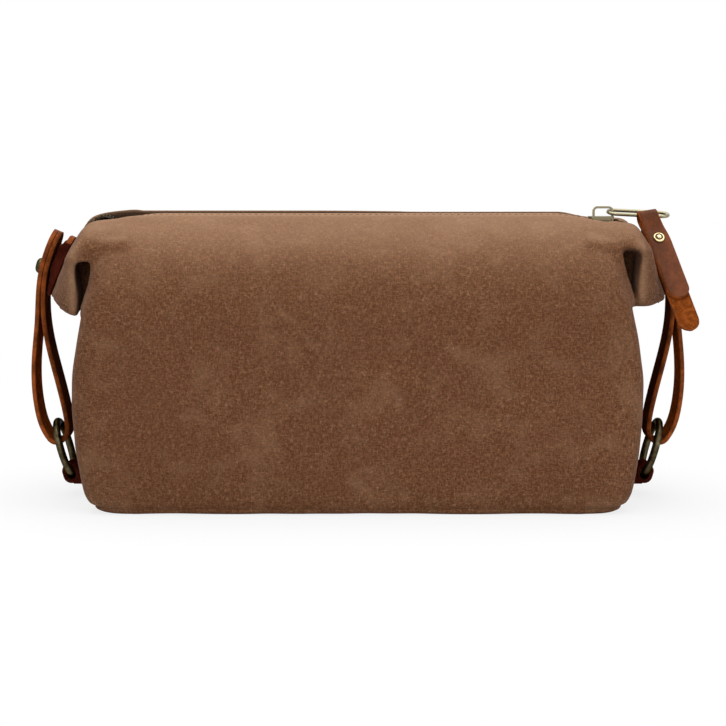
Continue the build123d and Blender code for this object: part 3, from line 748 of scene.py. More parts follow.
def hollow_form(ax, ay, level):
    """The hollows beside the ears, where the side panel is folded in."""
    middle = np.interp(level, (96, 104, 110, 122), (137.2, 135.8, 135.0, 134.4))
    narrow = np.interp(level, (94, 101, 106, 112, 118, 124), (0.5, 0.7, 1.6, 3.0, 4.0, 4.3))
    hollow = np.abs(ax - middle) - narrow
    for wall in (level - HOLLOW_TOP, HOLLOW_INNER - ay, HOLLOW_END - level):
        hollow = smooth_max(hollow, wall, 3.0)
    return hollow


def canvas_form(x, y, z):
    """Signed distance outside the canvas, in millimetres."""
    ax, ay = np.abs(x), np.abs(y)
    lift = np.where(x > 0, EAR_LIFT, 0.0)
    crest = crest_line(x, z)
    # the body: its bulging faces, sagging roof, ends and base
    half = np.interp(z, LEVELS, SMOOTH_LENGTHS)
    belly = BELLY * np.clip(1 - (x / 138) ** 2, 0, 1) * np.sin(np.pi * np.clip(z / 116, 0, 1))
    front = ay - FACE - belly
    roof = (ay - ROOF_EDGE[0]) * ROOF_NORMAL[0] + (z - ROOF_EDGE[1]) * ROOF_NORMAL[1]
    roof = roof + 1.2 * np.clip(1 - (x / 120) ** 2, 0, 1) * np.exp(-(((ay - 34) / 18) ** 2))
    top = smooth_max(roof, z - MOUTH + lip_drop(x, y), 5)
    body = smooth_max(front, top, 34)
    body = smooth_max(body, ax - half - 1.2 * np.clip(1 - (y / 62) ** 2, 0, 1), 14)
    body = smooth_max(body, -z, 4.0 + 7.0 * np.clip((ax - 108) / 24, 0, 1))
    total = smooth_min(body, ear_form(x, y, z, lift, crest, top), 2.5)
    total = smooth_max(total, -hollow_form(ax, ay, z - lift), 1.5)
    # creases at the ear follow its lift, and the others do not
    for start, end, high, wide in CREASES:
        a, b = np.array(start), np.array(end)
        d = b - a
        px, py, pz = ax - a[0], ay - a[1], z - a[2] - lift * (a[2] < 129)
        t = np.clip((px * d[0] + py * d[1] + pz * d[2]) / (d @ d), 0, 1)
        gone = (px - t * d[0]) ** 2 + (py - t * d[1]) ** 2 + (pz - t * d[2]) ** 2
        total = total - high * (1 - 0.8 * t * t) * np.exp(-gone / wide**2)
    # the leather pull presses a soft dent into the right ear
    press = sum((v - at) ** 2 for v, at in zip((x, y, z), DENT_AT))
    total = total + DENT_DEPTH * np.exp(-press / DENT_SIZE**2)
    # the fold's underside
    under = np.sqrt(((ax - 150) / 9.5) ** 2 + (y / 35) ** 2 + ((z - 90) / 13) ** 2) - 1
    total = smooth_max(total, -under * 9, 3)
    # rumples, stronger near the ears, and the seams' shallow grooves
    rough = rumple(x, y, z, 3, 46) * 0.55 + rumple(x, y, z, 8, 21) * 0.2
    near_ear = np.clip((ax - 96) / 40, 0, 1) * np.clip((z - 60) / 50, 0, 1)
    keep = np.clip((ay - 9) / 8, 0, 1)
    total = total - sizes().wrinkle / MM * rough * keep * (0.6 + 1.4 * near_ear)
    total = total + SEAM_DEPTH * np.exp(-(((z - SEAM_LEVEL) / 0.9) ** 2))
    total = total + 0.5 * np.exp(-((y / 0.9) ** 2)) * (z < 120) * (ax > 120)
    slot = np.maximum(np.maximum(ay - SLOT_HALF, -(crest + SLOT_DEPTH)), SLOT_FLOOR - z)
    return smooth_max(total, -slot, 1.8)


def surface_points(form, low, high, step):
    """Points and quads of the surface where form is zero (surface nets on a regular grid)."""
    axes = [np.arange(a, b + step, step) for a, b in zip(low, high)]
    gx, gy, gz = np.meshgrid(*axes, indexing="ij", sparse=True)
    value = np.asarray(form(gx, gy, gz) + 0 * (gx + gy + gz), np.float32)
    inside = value < 0
    cells = np.array(value.shape) - 1
    count, place = np.zeros(cells, np.float32), np.zeros((*cells, 3), np.float32)
    part = lambda c: value[tuple(slice(s, s + n) for s, n in zip(c, cells))]
    # each point is the mean of where the surface crosses its cell's edges
    for a in np.ndindex(2, 2, 2):
        for axis in range(3):
            if a[axis]:
                continue
            b = tuple(v + (n == axis) for n, v in enumerate(a))
            va, vb = part(a), part(b)
            cross = (va < 0) != (vb < 0)
            t = np.where(cross, va / np.where(cross, va - vb, 1), 0)
            for n in range(3):
                place[..., n] += np.where(cross, a[n] + (t if n == axis else 0), 0)
            count += cross
    used = count > 0
    index = np.full(cells, -1, np.int64)
    index[used] = np.arange(used.sum())
    cell = np.argwhere(used)
    points = (cell + place[used] / count[used][:, None]) * step + np.array([a[0] for a in axes])
    # a quad joins the four cells round each crossed grid edge
    quads = []
    for axis in range(3):
        lo = [slice(1, -1)] * 3
        lo[axis] = slice(0, -1)
        hi = list(lo)
        hi[axis] = slice(1, None)
        a, b = inside[tuple(lo)], inside[tuple(hi)]
        edge = np.argwhere(a != b)
        out = a[tuple(edge.T)]
        edge = edge + np.array([int(n != axis) for n in range(3)])
        du, dv = np.eye(3, dtype=int)[[(axis + 1) % 3, (axis + 2) % 3]]
        ring = np.stack([index[tuple((edge - s * du - t * dv).T)]
                         for s, t in ((1, 1), (0, 1), (0, 0), (1, 0))], 1)
        ring[~out] = ring[~out][:, ::-1]
        quads.append(ring)
    return points, np.concatenate(quads)


def pull_to_surface(form, points, rounds=4):
    """Moves points onto the surface along the form's slope, and gives their normals."""
    e = 0.25
    for _ in range(rounds):
        x, y, z = points.T
        slope = np.stack(
            [form(x + e, y, z) - form(x - e, y, z), form(x, y + e, z) - form(x, y - e, z),
             form(x, y, z + e) - form(x, y, z - e)], 1
        ) / (2 * e)
        steep = np.maximum((slope**2).sum(1), 0.2)
        move = np.clip(form(x, y, z) / steep, -1.0, 1.0)
        points = points - slope * move[:, None] * 0.8
    return points, slope / np.sqrt(steep)[:, None]


def shell_of(form, step):
    """The surface of a form round the whole bag, open at the mouth's bottom."""
    points, quads = surface_points(form, (-173, -71, -6), (173, 71, 152), step)
    points, normals = pull_to_surface(form, points)
    x, y, z = points[quads].mean(1).T
    crest = crest_line(x, z)
    shut = (np.abs(y) < 5.0) & (crest < -MOUTH_DEPTH) & (z > 125) & (crest > -MOUTH_DEPTH - 4)
    return points, quads[~shut], normals


def split_shell(points, quads, cuts, name, material, wall, marks=None):
    """One named panel of a shell: kept on the far side of each cut plane, and given a wall."""
    made = mesh_object(name, points, quads.tolist(), [material])
    for key, values in (marks or {}).items():
        made.data.attributes.new(key, "FLOAT", "POINT").data.foreach_set("value", values)
    with editing(made.data) as shell:
        for point, normal in cuts:
            bmesh.ops.bisect_plane(
                shell, geom=shell.verts[:] + shell.edges[:] + shell.faces[:], dist=1e-6,
                plane_co=Vector(point) * MM, plane_no=Vector(normal), clear_inner=True,
            )
    modifier = made.modifiers.new("wall", "SOLIDIFY")
    modifier.thickness, modifier.offset = wall, -1.0
    settle(made)
    return flat_map(made)


# ---- repeats --------------------------------------------------------------------------
def repeat_tree(name, shape):
    """Geometry Nodes: a small shape set at even steps along a line.

    The line carries an "up" direction at each point. Inputs: Step, Shape Size, Finish.
    """
    tree = bpy.data.node_groups.new(name, "GeometryNodeTree")
    for label, kind in (("Geometry", "Geometry"), ("Step", "Float"), ("Shape Size", "Vector"),
                        ("Finish", "Material")):
        tree.interface.new_socket(label, in_out="INPUT", socket_type="NodeSocket" + kind)
    tree.interface.new_socket("Geometry", in_out="OUTPUT", socket_type="NodeSocketGeometry")
    n = Nodes(tree)
    given = n.add("NodeGroupInput").outputs
    line = n.add("GeometryNodeMeshToCurve", {0: given["Geometry"]})
    even = n.add("GeometryNodeResampleCurve",
                 {"Curve": line.outputs[0], "Length": given["Step"]}, mode="LENGTH")
    tangent = n.add("GeometryNodeInputTangent")
    up = n.add("GeometryNodeInputNamedAttribute", {"Name": "up"}, data_type="FLOAT_VECTOR")
    along = n.add("FunctionNodeAlignEulerToVector", {"Vector": tangent.outputs[0]}, axis="X")
    upright = n.add("FunctionNodeAlignEulerToVector",
                    {"Rotation": along.outputs[0], "Vector": up.outputs["Attribute"]},
                    axis="Z", pivot_axis="X")
    if shape == "stitch":
        unit = n.add("GeometryNodeMeshUVSphere", {"Segments": 8, "Rings": 5, "Radius": 0.5})
    else:
        cube = n.add("GeometryNodeMeshCube", {"Size": (1, 1, 1)})
        unit = n.add("GeometryNodeSubdivisionSurface",
                     {"Mesh": cube.outputs["Mesh"], "Level": 2, "Edge Crease": 0.78})
    shaped = n.add("GeometryNodeTransform",
                   {"Geometry": unit.outputs["Mesh"], "Scale": given["Shape Size"]})
    row = n.add("GeometryNodeInstanceOnPoints",
                {"Points": even.outputs[0], "Instance": shaped.outputs[0],
                 "Rotation": upright.outputs[0]})
    real = n.add("GeometryNodeRealizeInstances", {0: row.outputs[0]})
    smooth = n.add("GeometryNodeSetShadeSmooth", {"Geometry": real.outputs[0]})
    paint = n.add("GeometryNodeSetMaterial",
                  {"Geometry": smooth.outputs[0], "Material": given["Finish"]})
    n.add("NodeGroupOutput", {0: paint.outputs[0]})
    return tree


def repeats(name, lines, ups, step, size, key="sewing_thread", shape="stitch"):
    """Bakes a row of stitches or teeth along each line. Lines are in mm, step and size in m."""
    points, edges, up = [], [], []
    for line, way in zip(lines, ups):
        start = len(points)
        points += [tuple(p) for p in np.asarray(line) * MM]
        up += [tuple(v) for v in np.broadcast_to(np.asarray(way, float), (len(line), 3))]
        edges += [(i, i + 1) for i in range(start, len(points) - 1)]
    mesh = bpy.data.meshes.new(name)
    mesh.from_pydata(points, edges, [])
    mesh.attributes.new("up", "FLOAT_VECTOR", "POINT").data.foreach_set(
        "vector", np.asarray(up, np.float32).ravel()
    )
    made = scene_object(name, mesh)
    group = bpy.data.node_groups.get("row_of_" + shape) or repeat_tree("row_of_" + shape, shape)
    modifier = made.modifiers.new("row", "NODES")
    modifier.node_group = group
    named = {s.name: s.identifier for s in group.interface.items_tree if s.in_out == "INPUT"}
    modifier[named["Step"]] = step
    modifier[named["Shape Size"]] = tuple(size)
    modifier[named["Finish"]] = finish(key)
    settle(made)
    return made


def zip_line(depth, y, lowest, x_range=(-200, 200), step=1.5, rise=0.0):
    """Points along the zip at a depth below the mouth's edge, left to right, and their ups.

    The left end stands higher by rise.
    """
    def arc(side, corner):
        radius = corner["radius"] - depth
        count = max(3, int(radius * corner["slope"] / step))
        turn = corner["slope"] * np.arange(count + 1) / count
        up = np.stack([side * np.sin(turn), 0 * turn, np.cos(turn)], 1)
        return (side * corner["reach"], y, MOUTH - corner["radius"]) + radius * up, up

    left, left_up = arc(-1, LEFT_CORNER)
    right, right_up = arc(1, RIGHT_CORNER)
    run = np.arange(-LEFT_CORNER["reach"], RIGHT_CORNER["reach"], step)[1:, None]
    line = np.concatenate([left[::-1], run * (1, 0, 0) + (0, y, MOUTH - depth), right])
    ups = np.concatenate([left_up[::-1], 0 * run + (0, 0, 1), right_up])
    x, _, z = line.T
    keep = (z >= lowest) & (x >= x_range[0]) & (x <= x_range[1])
    raised = rise * ease((-x - RISE_START) / RISE_RUN)
    return (line + ups * raised[:, None])[keep], ups[keep]


# ---- operators ------------------------------------------------------------------------
class PieceOperator:
    bl_options = {"REGISTER", "UNDO"}

    def execute(self, context):
        self.make()
        return {"FINISHED"}


class KITBAG_OT_canvas(PieceOperator, Operator):
    """Builds the front, back and base canvas panels as one sagging shell"""

    bl_idname = "kitbag.canvas"
    bl_label = "Canvas panels"

    def make(self):
        points, quads, normals = shell_of(canvas_form, sizes().grid_step / MM)
        x, y, z = points.T
        ax, ay = np.abs(x), np.abs(y)
        crest = crest_line(x, z)
        # worn pale: the mouth's edges, the ears' corners and the feet; painted top light: all that
        # faces up is painted paler
        ridge = np.exp(-((crest / 2.2) ** 2)) * (ay < 14) * (ay > 5)
        corner = np.exp(-(((ax - 139) / 3.5) ** 2 + ((ay - 46) / 3.5) ** 2)) * (z > 96)
        foot = np.exp(-((z - 4) / 5) ** 2) * (ax > 110) * 0.5
        # painted top light: the more a face points up, the paler it is painted
        painted_top_light = 0.6 * np.clip(normals[:, 2], 0, 1) ** 3 * (z > 60)
        pale_cover = np.clip(0.5 * ridge + 0.6 * corner + 0.4 * foot + painted_top_light, 0, 1)
        # painted shade: the inside of the mouth is painted dark
        within = np.clip((7.0 - ay) / 1.5, 0, 1) * (z > 120)
        painted_mouth_shade = within * np.clip((-crest - lip_drop(x, y * 1.2) - 0.5) / 0.8, 0, 1)
        marks = {"pale_cover": pale_cover.astype(np.float32), "painted_mouth_shade": painted_mouth_shade.astype(np.float32)}
        seam = (0, 0, BASE_SEAM)
        cuts = {name: [((0, 0, 0), (0, side, 0)), (seam, (0, 0, 1))]
                for name, side in PANELS.items()}
        cuts["base"] = [(seam, (0, 0, -1))]
        for name, planes in cuts.items():
            panel = split_shell(points, quads, planes, f"{name}_canvas", "washed_canvas",
                                sizes().canvas_wall, marks)
            dress(panel, "bag", "canvas", f"{name}_canvas_panel")


class KITBAG_OT_lining(PieceOperator, Operator):
    """Builds the two halves of the cotton lining inside the canvas"""

    bl_idname = "kitbag.lining"
    bl_label = "Lining"

    def make(self):
        inset = sizes().lining_inset / MM
        points, quads, _ = shell_of(lambda x, y, z: canvas_form(x, y, z) + inset, 4.0)
        for name, side in PANELS.items():
            half = split_shell(points, quads, [((0, 0, 0), (0, side, 0))],
                               f"{name}_cotton_lining", "cotton_lining", LINING_WALL * MM)
            dress(half, "bag", "lining", f"{name}_lining")


class KITBAG_OT_pocket(PieceOperator, Operator):
    """Builds the slip pocket on the lining's back wall"""

    bl_idname = "kitbag.pocket"
    bl_label = "Slip pocket"

    def make(self):
        low, high = (np.array(end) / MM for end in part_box("slip_pocket"))
        columns, rows = 61, 27
        u, v = np.meshgrid(np.linspace(0, 1, columns), np.linspace(0, 1, rows))
        gape = np.sin(np.pi * u) ** 0.7 * v**2  # the top edge stands off the wall in its middle
        x = low[0] + u * (high[0] - low[0])
        y = high[1] - POCKET_WALL - gape * (high[1] - low[1] - 2 * POCKET_WALL)
        z = low[2] + v * (high[2] - low[2]) - 1.5 * gape * np.sin(np.pi * u)
        points = np.stack([x, y, z], -1)
        made = mesh_object("inner_slip_pocket", points.reshape(-1, 3),
                           grid_faces(rows, columns, closed=False), ["cotton_lining"])
        made.modifiers.new("wall", "SOLIDIFY").thickness = POCKET_WALL * MM
        settle(made)
        dress(flat_map(made), "bag", "lining", "slip_pocket")
        rim = points[-3] + (0, -0.4, 0)
        hem = repeats("slip_pocket_stitches", [rim], [(0, -1, 0)], HEM_PITCH, HEM_STITCH)
        dress(hem, "bag", "lining")


class KITBAG_OT_zip_tapes(PieceOperator, Operator):
    """Builds the woven tapes under the mouth's folded edges"""

    bl_idname = "kitbag.zip_tapes"
    bl_label = "Zip tapes"

    def make(self):
        thick = sizes().tape_thickness / MM
        for name, side in PANELS.items():
            for part, span in TAPE_SPANS.items():
                line, ups = zip_line(TAPE_DEPTH, side * TAPE_MIDDLE, TAPE_LOWEST, span,
                                     rise=END_RISE if part else 0.0)
                made = leather_strip(
                    f"{name}_zip_tape{part}_woven", line, (0, 1, 0), ups, TAPE_WIDTH, thick,
                    ["zip_tape_twill"] * 3, 0.15,
                )
                dress_zip(made, "zip_tape", f"{name}_zip_tape", part)


class KITBAG_OT_zip_teeth(PieceOperator, Operator):
    """Sets the zip's teeth along both tapes"""

    bl_idname = "kitbag.zip_teeth"
    bl_label = "Zip teeth"

    def make(self):
        pitch = sizes().tooth_pitch
        for name, side in PANELS.items():
            shift = pitch / MM / 2 if side > 0 else 0.0  # the two rows interlock
            spans = {"": (RUN_TEETH[0], RUN_TEETH[1] - shift), "_end": (-200, END_TEETH - shift)}
            for part, span in spans.items():
                line, ups = zip_line(TAPE_DEPTH, side * TOOTH_MIDDLE, TOOTH_LOWEST, span, 0.75,
                                     END_RISE if part else 0.0)
                made = repeats(f"{name}_zip_teeth{part}_row", [line], [ups], pitch, TOOTH_SIZE,
                               "dark_teeth", "tooth")
                dress_zip(made, "teeth_metal", f"{name}_zip_teeth", part)


class KITBAG_OT_stitching(PieceOperator, Operator):
    """Sews the rows of stitches along the mouth and the seams"""

    bl_idname = "kitbag.stitching"
    bl_label = "Stitching"

    def make(self):
        s = sizes()
        size = (s.stitch_length, s.stitch_thread, s.stitch_thread * 0.6)
        mouth, seams, hems = [], [], []
        z = np.arange(7.0, 88.0, 1.5)
        ay = -np.concatenate([np.arange(-43, -11, 1.5), [-10.5]])
        for side in (-1, 1):
            mouth.append(zip_line(0.0, side * MOUTH_STITCH, 128.0)[0])
            seams += [np.stack([0 * z + side * 138.0, 0 * z + y, z], 1)
                      for y in (-SEAM_STITCH, SEAM_STITCH)]
            hem = hem_height(ay, EAR_LIFT if side > 0 else 0.0)
            for way in (-1, 1):
                for above in EAR_STITCH:
                    x = np.interp(ay, (0, EAR_HALF), (158 - above * 0.3, 142))
                    hems.append(np.stack([side * x, -way * ay, hem + above], 1))
        # name, lines, rounds of pulling to the canvas, and height over it
        for name, lines, rounds, over in (
            ("mouth_stitches", mouth, 15, -0.05),
            ("side_seam_stitches", seams, 7, 0.1),
            ("ear_hem_stitches", hems, 7, 0.1),
        ):
            found = [pull_to_surface(canvas_form, line, rounds) for line in lines]
            row = repeats(name, [line + up * over for line, up in found],
                          [up for _, up in found], s.stitch_pitch, size)
            dress(row, "bag", "canvas")


class KITBAG_OT_patches(PieceOperator, Operator):
    """Builds the red leather patches on the ears' crests, with their stitching"""

    bl_idname = "kitbag.patches"
    bl_label = "Ear patches"

    def make(self):
        lowest, wide, cap = 103.0, 17.0, 8.0
        for name, side in SIDES.items():
            corner, full = (LEFT_CORNER, 5.2) if side < 0 else (RIGHT_CORNER, 4.4)
            sin, cos = math.sin(corner["slope"]), math.cos(corner["slope"])
            normal, down = np.array([side * sin, 0, cos]), np.array([side * cos, 0, -sin])
            end = np.array([side * (corner["reach"] + corner["radius"] * sin), 0,
                            MOUTH - corner["radius"] * (1 - cos)])
            t = np.concatenate([2.0 + 0.4 * np.arange(12),
                                np.linspace(7.0, (end[2] - lowest) / sin, 30)])
            height = end[2] - t * sin
            thick = np.interp(height, (lowest, 107, 116, 126, 130, 134),
                              (1.3, 2.4, full - 0.5, full, 2.9, 2.5))
            path = end + down * t[:, None] + normal * (thick / 2 + 0.05)[:, None]
            narrowing = ((cap - (t - 1.2)) / cap).clip(0) ** 2
            width = wide * np.sqrt(np.clip(1 - narrowing, 0.05, 1))
            made = leather_strip(
                f"{name}_ear_patch_leather", path, (0, 1, 0), normal, width, thick,
                ["red_leather", "leather_suede", "red_leather", "leather_edge"],
            )
            for face in made.data.polygons:  # the raw cut shows round the top end
                if face.material_index == 2 and face.center.z / MM > height[0] - 2.6:
                    face.material_index = 3
            dress(made, "bag", "leather_red", f"{name}_ear_patch")
            top = path + normal * (thick / 2 + 0.02)[:, None]
            rows = [top[8:-1] + (0, y, 0) for y in (-6.6, 6.6)]
            sewn = repeats(f"{name}_patch_stitches", rows, [normal, normal], PATCH_PITCH,
                           PATCH_STITCH)
            dress(sewn, "bag", "leather_red")


class KITBAG_OT_straps(PieceOperator, Operator):
    """Builds the two side straps: the sewn inner leg and the outer leg that comes off its stud"""

    bl_idname = "kitbag.straps"
    bl_label = "Side straps"

    def make(self):
        s = sizes()
        inner, inner_way = smooth_curve(STRAP_INNER)
        join = int(np.argmax((inner[:, 1] < 32.5) & (np.arange(len(inner)) > len(inner) // 2)))
        # the outer leg's top lies on the inner leg, and its start is the loop through the ring
        at, way = smooth_curve(STRAP_INNER, share=[0.24, 0.16, 0.08, 0.0])
        top = at + np.stack([-way[:, 1], way[:, 0]], 1) * STRAP_STACK
        outer, outer_way = smooth_curve([*STRAP_OUTER, *top])
        legs = {
            "inner": (inner[2 : join + 1], inner_way[2 : join + 1]),
            "outer": (np.concatenate([inner[join:-1], outer])[:-2],
                      np.concatenate([inner_way[join:-1], outer_way])[:-2]),
        }
        for name, side in SIDES.items():
            for leg, (line, way) in legs.items():
                path = np.stack([side * line[:, 0], 0 * line[:, 0], line[:, 1]], 1)
                # the grain faces the bag on the inner leg, and away from it on the outer one
                out = np.stack([way[:, 1] * side, 0 * way[:, 0], -way[:, 0]], 1)
                arc = distances(path)
                tip = arc if leg == "inner" else arc[-1] - arc
                made = leather_strip(
                    f"{name}_strap_{leg}", path, (0, 1, 0), out,
                    round_end(tip, STRAP_END, s.strap_width / MM, 3.0), s.strap_leather / MM,
                    ["strap_grain", "leather_suede", "leather_edge"],
                )
                if leg == "inner":
                    dress(made, "bag", "leather_dark", f"{name}_strap_inner_leg")
                    continue
                self.open_hole(made, side)
                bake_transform(made)
                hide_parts(f"{name}_strap_outer_leg")

    def open_hole(self, made, side):
        """Cuts the stud's hole and the slit below it."""
        at, out, down = (Vector((side * x, 0, z)) for x, z in (STUD, STUD_OUT, STUD_DOWN))
        turn = Matrix((Vector((0, 1, 0)), down.normalized(), out.normalized())).transposed()
        place = Matrix.Translation((at + out.normalized() * 2.4) * MM) @ turn.to_4x4()
        through = 4.2  # the cutters' length, well over the leather's thickness
        hole, slit = bmesh.new(), bmesh.new()
        bmesh.ops.create_cone(hole, cap_ends=True, segments=28, radius1=HOLE_RADIUS * MM,
                              radius2=HOLE_RADIUS * MM, depth=through * MM)
        bmesh.ops.create_cube(slit, size=MM)
        bmesh.ops.scale(slit, vec=(*SLIT, through), verts=slit.verts)
        bmesh.ops.translate(slit, vec=(0, 4.5 * MM, 0), verts=slit.verts)
        tools = []
        for name, cutter in (("hole_round", hole), ("hole_slit", slit)):
            mesh = bpy.data.meshes.new(name)
            cutter.to_mesh(mesh)
            cutter.free()
            mesh.transform(place)
            mesh.materials.append(finish("leather_edge"))
            tools.append(scene_object(name, mesh))
            modifier = made.modifiers.new("cut", "BOOLEAN")
            modifier.operation, modifier.solver = "DIFFERENCE", "EXACT"
            modifier.object = tools[-1]
        settle(made)
        for tool in tools:
            bpy.data.objects.remove(tool)


class KITBAG_OT_ring_tabs(PieceOperator, Operator):
    """Builds the red leather loops that hold the side rings"""

    bl_idname = "kitbag.ring_tabs"
    bl_label = "Ring tabs"

    def make(self):
        for name in SIDES:
            made = softened_copy(f"{name}_ring_tab_leather", f"{name}_ring_tab",
                                 ["red_leather", "leather_edge"], lambda n: abs(n.y) > 0.8)
            dress(made, "bag", "leather_red", f"{name}_ring_tab")


class KITBAG_OT_pull(PieceOperator, Operator):
    """Builds the leather zip pull folded through its ring, and its rivet"""

    bl_idname = "kitbag.pull"
    bl_label = "Leather zip pull"

    def make(self):
        thick = sizes().tab_leather / MM
        x_axis, z_axis = TAB_AXIS.normalized(), (-TAB_HANG).normalized()
        y_axis = z_axis.cross(x_axis).normalized()
        turn = Matrix((x_axis, y_axis, z_axis)).transposed()
        centre = TAB_FOLD + SLIDE_BACK
        # the strip's middle line, from the front tip over the fold to the back tip
        fold, leg = TAB_FOLD_RADIUS + thick / 2, thick / 2 + 0.05
        front = np.arange(-TAB_FRONT, -TAB_JOIN, 0.8)
        back = np.arange(-TAB_JOIN - 0.8, -TAB_BACK - 0.01, -0.8)
        share = np.linspace(0, 1, 12)
        gap, drop = leg + (fold - leg) * ease(share), TAB_JOIN * (share - 1)
        over = np.linspace(0, math.pi, 15)[1:-1]
        y = np.concatenate([0 * front - leg, -gap, -fold * np.cos(over), gap[::-1],
                            0 * back + leg])
        z = np.concatenate([front, drop, fold * np.sin(over), drop[::-1], back])
        way = np.gradient(np.stack([y, z], 1), axis=0)
        way /= np.linalg.norm(way, axis=1, keepdims=True)
        out = np.stack([0 * z, -way[:, 1], way[:, 0]], 1)
        spread = ease((1 - z) / TAB_SPREAD)
        width = round_end(np.where(y < 0, TAB_FRONT, TAB_BACK) + z, TAB_END,
                          TAB_NECK + TAB_WIDENS * spread, 1.0)
        turned = np.array(turn)
        points = np.stack([-1.2 * (1 - spread), y, z], 1) @ turned.T + np.array(centre)
        made = leather_strip("leather_pull", points, turned[:, 0], out @ turned.T, width, thick,
                             ["leather_grain", "leather_suede", "leather_edge"])
        dress(made, "pull_tab", "leather_dark", "pull_tab")

        place = Matrix.Translation(centre) @ turn.to_4x4()
        dome = [(0, 1.5), (0.7, 1.45), (1.2, 1.2), (1.45, 0.72), (1.85, 0.68), (2.1, 1.0),
                (2.5, 0.95), (2.85, 0.55), (3.0, 0.2), (3.0, 0.0), (0, 0.0)]
        cap = self.rivet("pull_rivet_dome", dome, place, -leg - thick / 2, (2, 3, 4, 7, 8))
        dress(cap, "pull_tab", "bright_brass", "pull_rivet_cap")
        flat = [(0, 0.35), (1.1, 0.35), (1.6, 0.8), (2.6, 0.75), (2.95, 0.4), (3.0, 0.0),
                (0, 0.0)]
        tail = self.rivet("pull_rivet_tail", flat, place, leg + thick / 2)
        dress(tail, "pull_tab", "bright_brass", "pull_rivet_post")
        for piece in (made, cap, tail):
            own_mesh(piece)

    def rivet(self, name, profile, place, face, aged=()):
        """One end of the rivet, turned outwards on the leather's face."""
        at = Matrix.Translation((0, face, -RIVET_DROP))
        outwards = Matrix.Rotation(math.copysign(math.pi / 2, -face), 4, "X")
        metals = ["polished_brass", "aged_brass"] if aged else ["polished_brass"]
        return lathe(name, profile, place @ at @ outwards, metals, aged)


class KITBAG_OT_metalwork(PieceOperator, Operator):
    """Gives the slider, rings, studs and stops their metal finishes"""

    bl_idname = "kitbag.metalwork"
    bl_label = "Metal fittings"

    def make(self):
        finishes = {"slider_body": "slider_metal", "pull_ring": "slider_metal",
                    "zip_end_stops": "dark_teeth"}
        for name in SIDES:
            for fitting in ("side_ring", "stud_head", "stud_screw"):
                finishes[f"{name}_{fitting}"] = "aged_brass"
        for node, key in finishes.items():
            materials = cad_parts[node].data.materials
            materials.clear()
            materials.append(finish(key))


def aim(thing, at, to):
    """Sets a lamp or a camera at one place, looking to another."""
    thing.location = at
    thing.rotation_euler = (Vector(to) - Vector(at)).to_track_quat("-Z", "Y").to_euler()


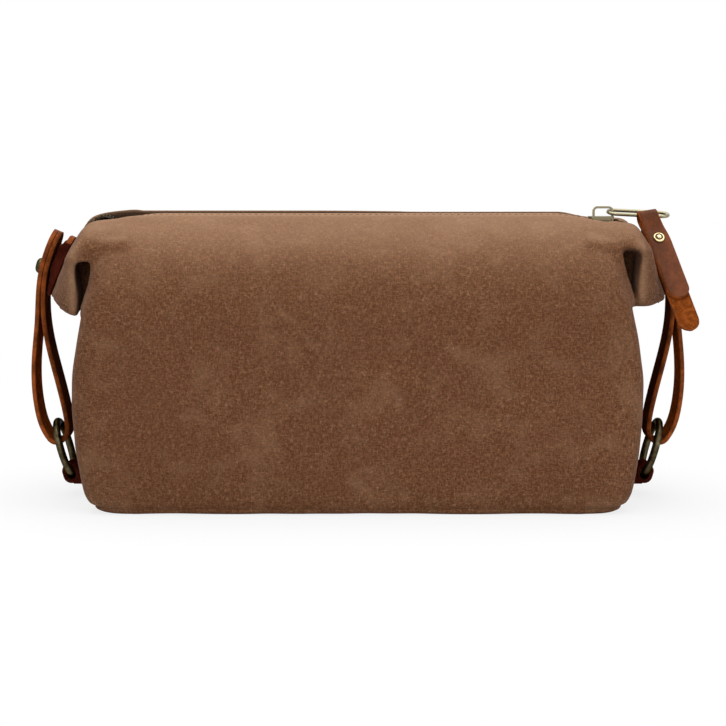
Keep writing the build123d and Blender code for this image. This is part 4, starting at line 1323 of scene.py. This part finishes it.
class KITBAG_OT_stage(PieceOperator, Operator):
    """Sets the pale floor, the soft studio lights and the camera"""

    bl_idname = "kitbag.stage"
    bl_label = "Studio"

    def make(self):
        scene = bpy.context.scene
        mesh = bpy.data.meshes.new("studio_floor")
        r = 6.0
        mesh.from_pydata([(-r, -r, 0), (r, -r, 0), (r, r, 0), (-r, r, 0)], [], [(0, 1, 2, 3)])
        floor = scene_object("studio_floor", mesh)
        # white where it is seen, but for a faint shade near the bag
        s = Shader("studio_floor")
        matt = s.add("ShaderNodeBsdfDiffuse", {"Color": (0.8, 0.8, 0.8)})
        glow = s.add("ShaderNodeEmission", {"Color": (1, 1, 1), "Strength": 1.0})
        away = s.add("ShaderNodeVectorMath", {0: s.object_place()}, operation="LENGTH")
        cover = s.ramp(away.outputs["Value"], 0.16, 0.75, 0.80, 1.0)
        share = s.math("MULTIPLY", s.seen_outright(), cover)
        mix = s.add("ShaderNodeMixShader", {0: share, 1: matt.outputs[0], 2: glow.outputs[0]})
        s.feed(s.out.inputs["Surface"], mix.outputs[0])
        mesh.materials.append(s.material)

        # a white world where it is seen, and a dimmer one for the light it gives
        world = bpy.data.worlds.new("studio")
        scene.world = world
        world.use_nodes = True
        world.node_tree.nodes.clear()
        w = Nodes(world.node_tree)
        strength = w.add("ShaderNodeMapRange",
                         {"Value": w.seen_outright(), "To Min": 0.30, "To Max": 1.0})
        background = w.add("ShaderNodeBackground",
                           {"Color": (1, 1, 1), "Strength": strength.outputs[0]})
        w.add("ShaderNodeOutputWorld", {0: background.outputs[0]})

        for name, at, to, size, power in (
            ("top_softbox", (0.0, 0.05, 1.15), (0, 0.0, 0.1), 1.4, 17.5),
            ("front_fill", (-0.35, -1.6, 0.75), (0, 0, 0.07), 1.2, 6.1),
            ("side_fill", (1.3, -0.9, 0.7), (0, 0, 0.08), 0.8, 4.2),
            ("back_fill", (-0.4, 1.5, 0.8), (0, 0, 0.08), 1.0, 5.0),
        ):
            lamp = bpy.data.lights.new(name, "AREA")
            lamp.size, lamp.energy = size, power
            aim(scene_object(name, lamp), at, to)

        lens = bpy.data.cameras.new("studio_camera")
        lens.sensor_width, lens.lens = 36.0, 96.9
        lens.clip_start, lens.clip_end = 0.01, 50.0
        scene.camera = scene_object("studio_camera", lens)
        aim(scene.camera, (0.0026, -1.0, 0.175), (0.0026, 0.0, 0.0678))
        scene.view_settings.view_transform = "Standard"


STEPS = (
    KITBAG_OT_canvas, KITBAG_OT_lining, KITBAG_OT_pocket, KITBAG_OT_zip_tapes, KITBAG_OT_zip_teeth,
    KITBAG_OT_stitching, KITBAG_OT_patches, KITBAG_OT_straps, KITBAG_OT_ring_tabs, KITBAG_OT_pull,
    KITBAG_OT_metalwork, KITBAG_OT_stage,
)


class KITBAG_PT_panel(Panel):
    bl_idname = "KITBAG_PT_panel"
    bl_label = "Shaving Kit Bag"
    bl_space_type = "VIEW_3D"
    bl_region_type = "UI"
    bl_category = "Kit Bag"

    def draw(self, context):
        for group in (context.scene.kit_bag_sizes, context.scene.kit_bag_colours):
            box = self.layout.box()
            for key in group.bl_rna.properties.keys():
                if key not in ("rna_type", "name"):
                    box.prop(group, key)
        for step in STEPS:
            self.layout.operator(step.bl_idname)


CLASSES = (KitBagSizes, KitBagColours, *STEPS, KITBAG_PT_panel)


def register():
    for cls in CLASSES:
        bpy.utils.register_class(cls)
    bpy.types.Scene.kit_bag_sizes = PointerProperty(type=KitBagSizes)
    bpy.types.Scene.kit_bag_colours = PointerProperty(type=KitBagColours)


def unregister():
    del bpy.types.Scene.kit_bag_colours
    del bpy.types.Scene.kit_bag_sizes
    for cls in reversed(CLASSES):
        bpy.utils.unregister_class(cls)


def main():
    register()
    for step in STEPS:
        group, name = step.bl_idname.split(".")
        getattr(getattr(bpy.ops, group), name)()


if __name__ == "__main__":
    main()
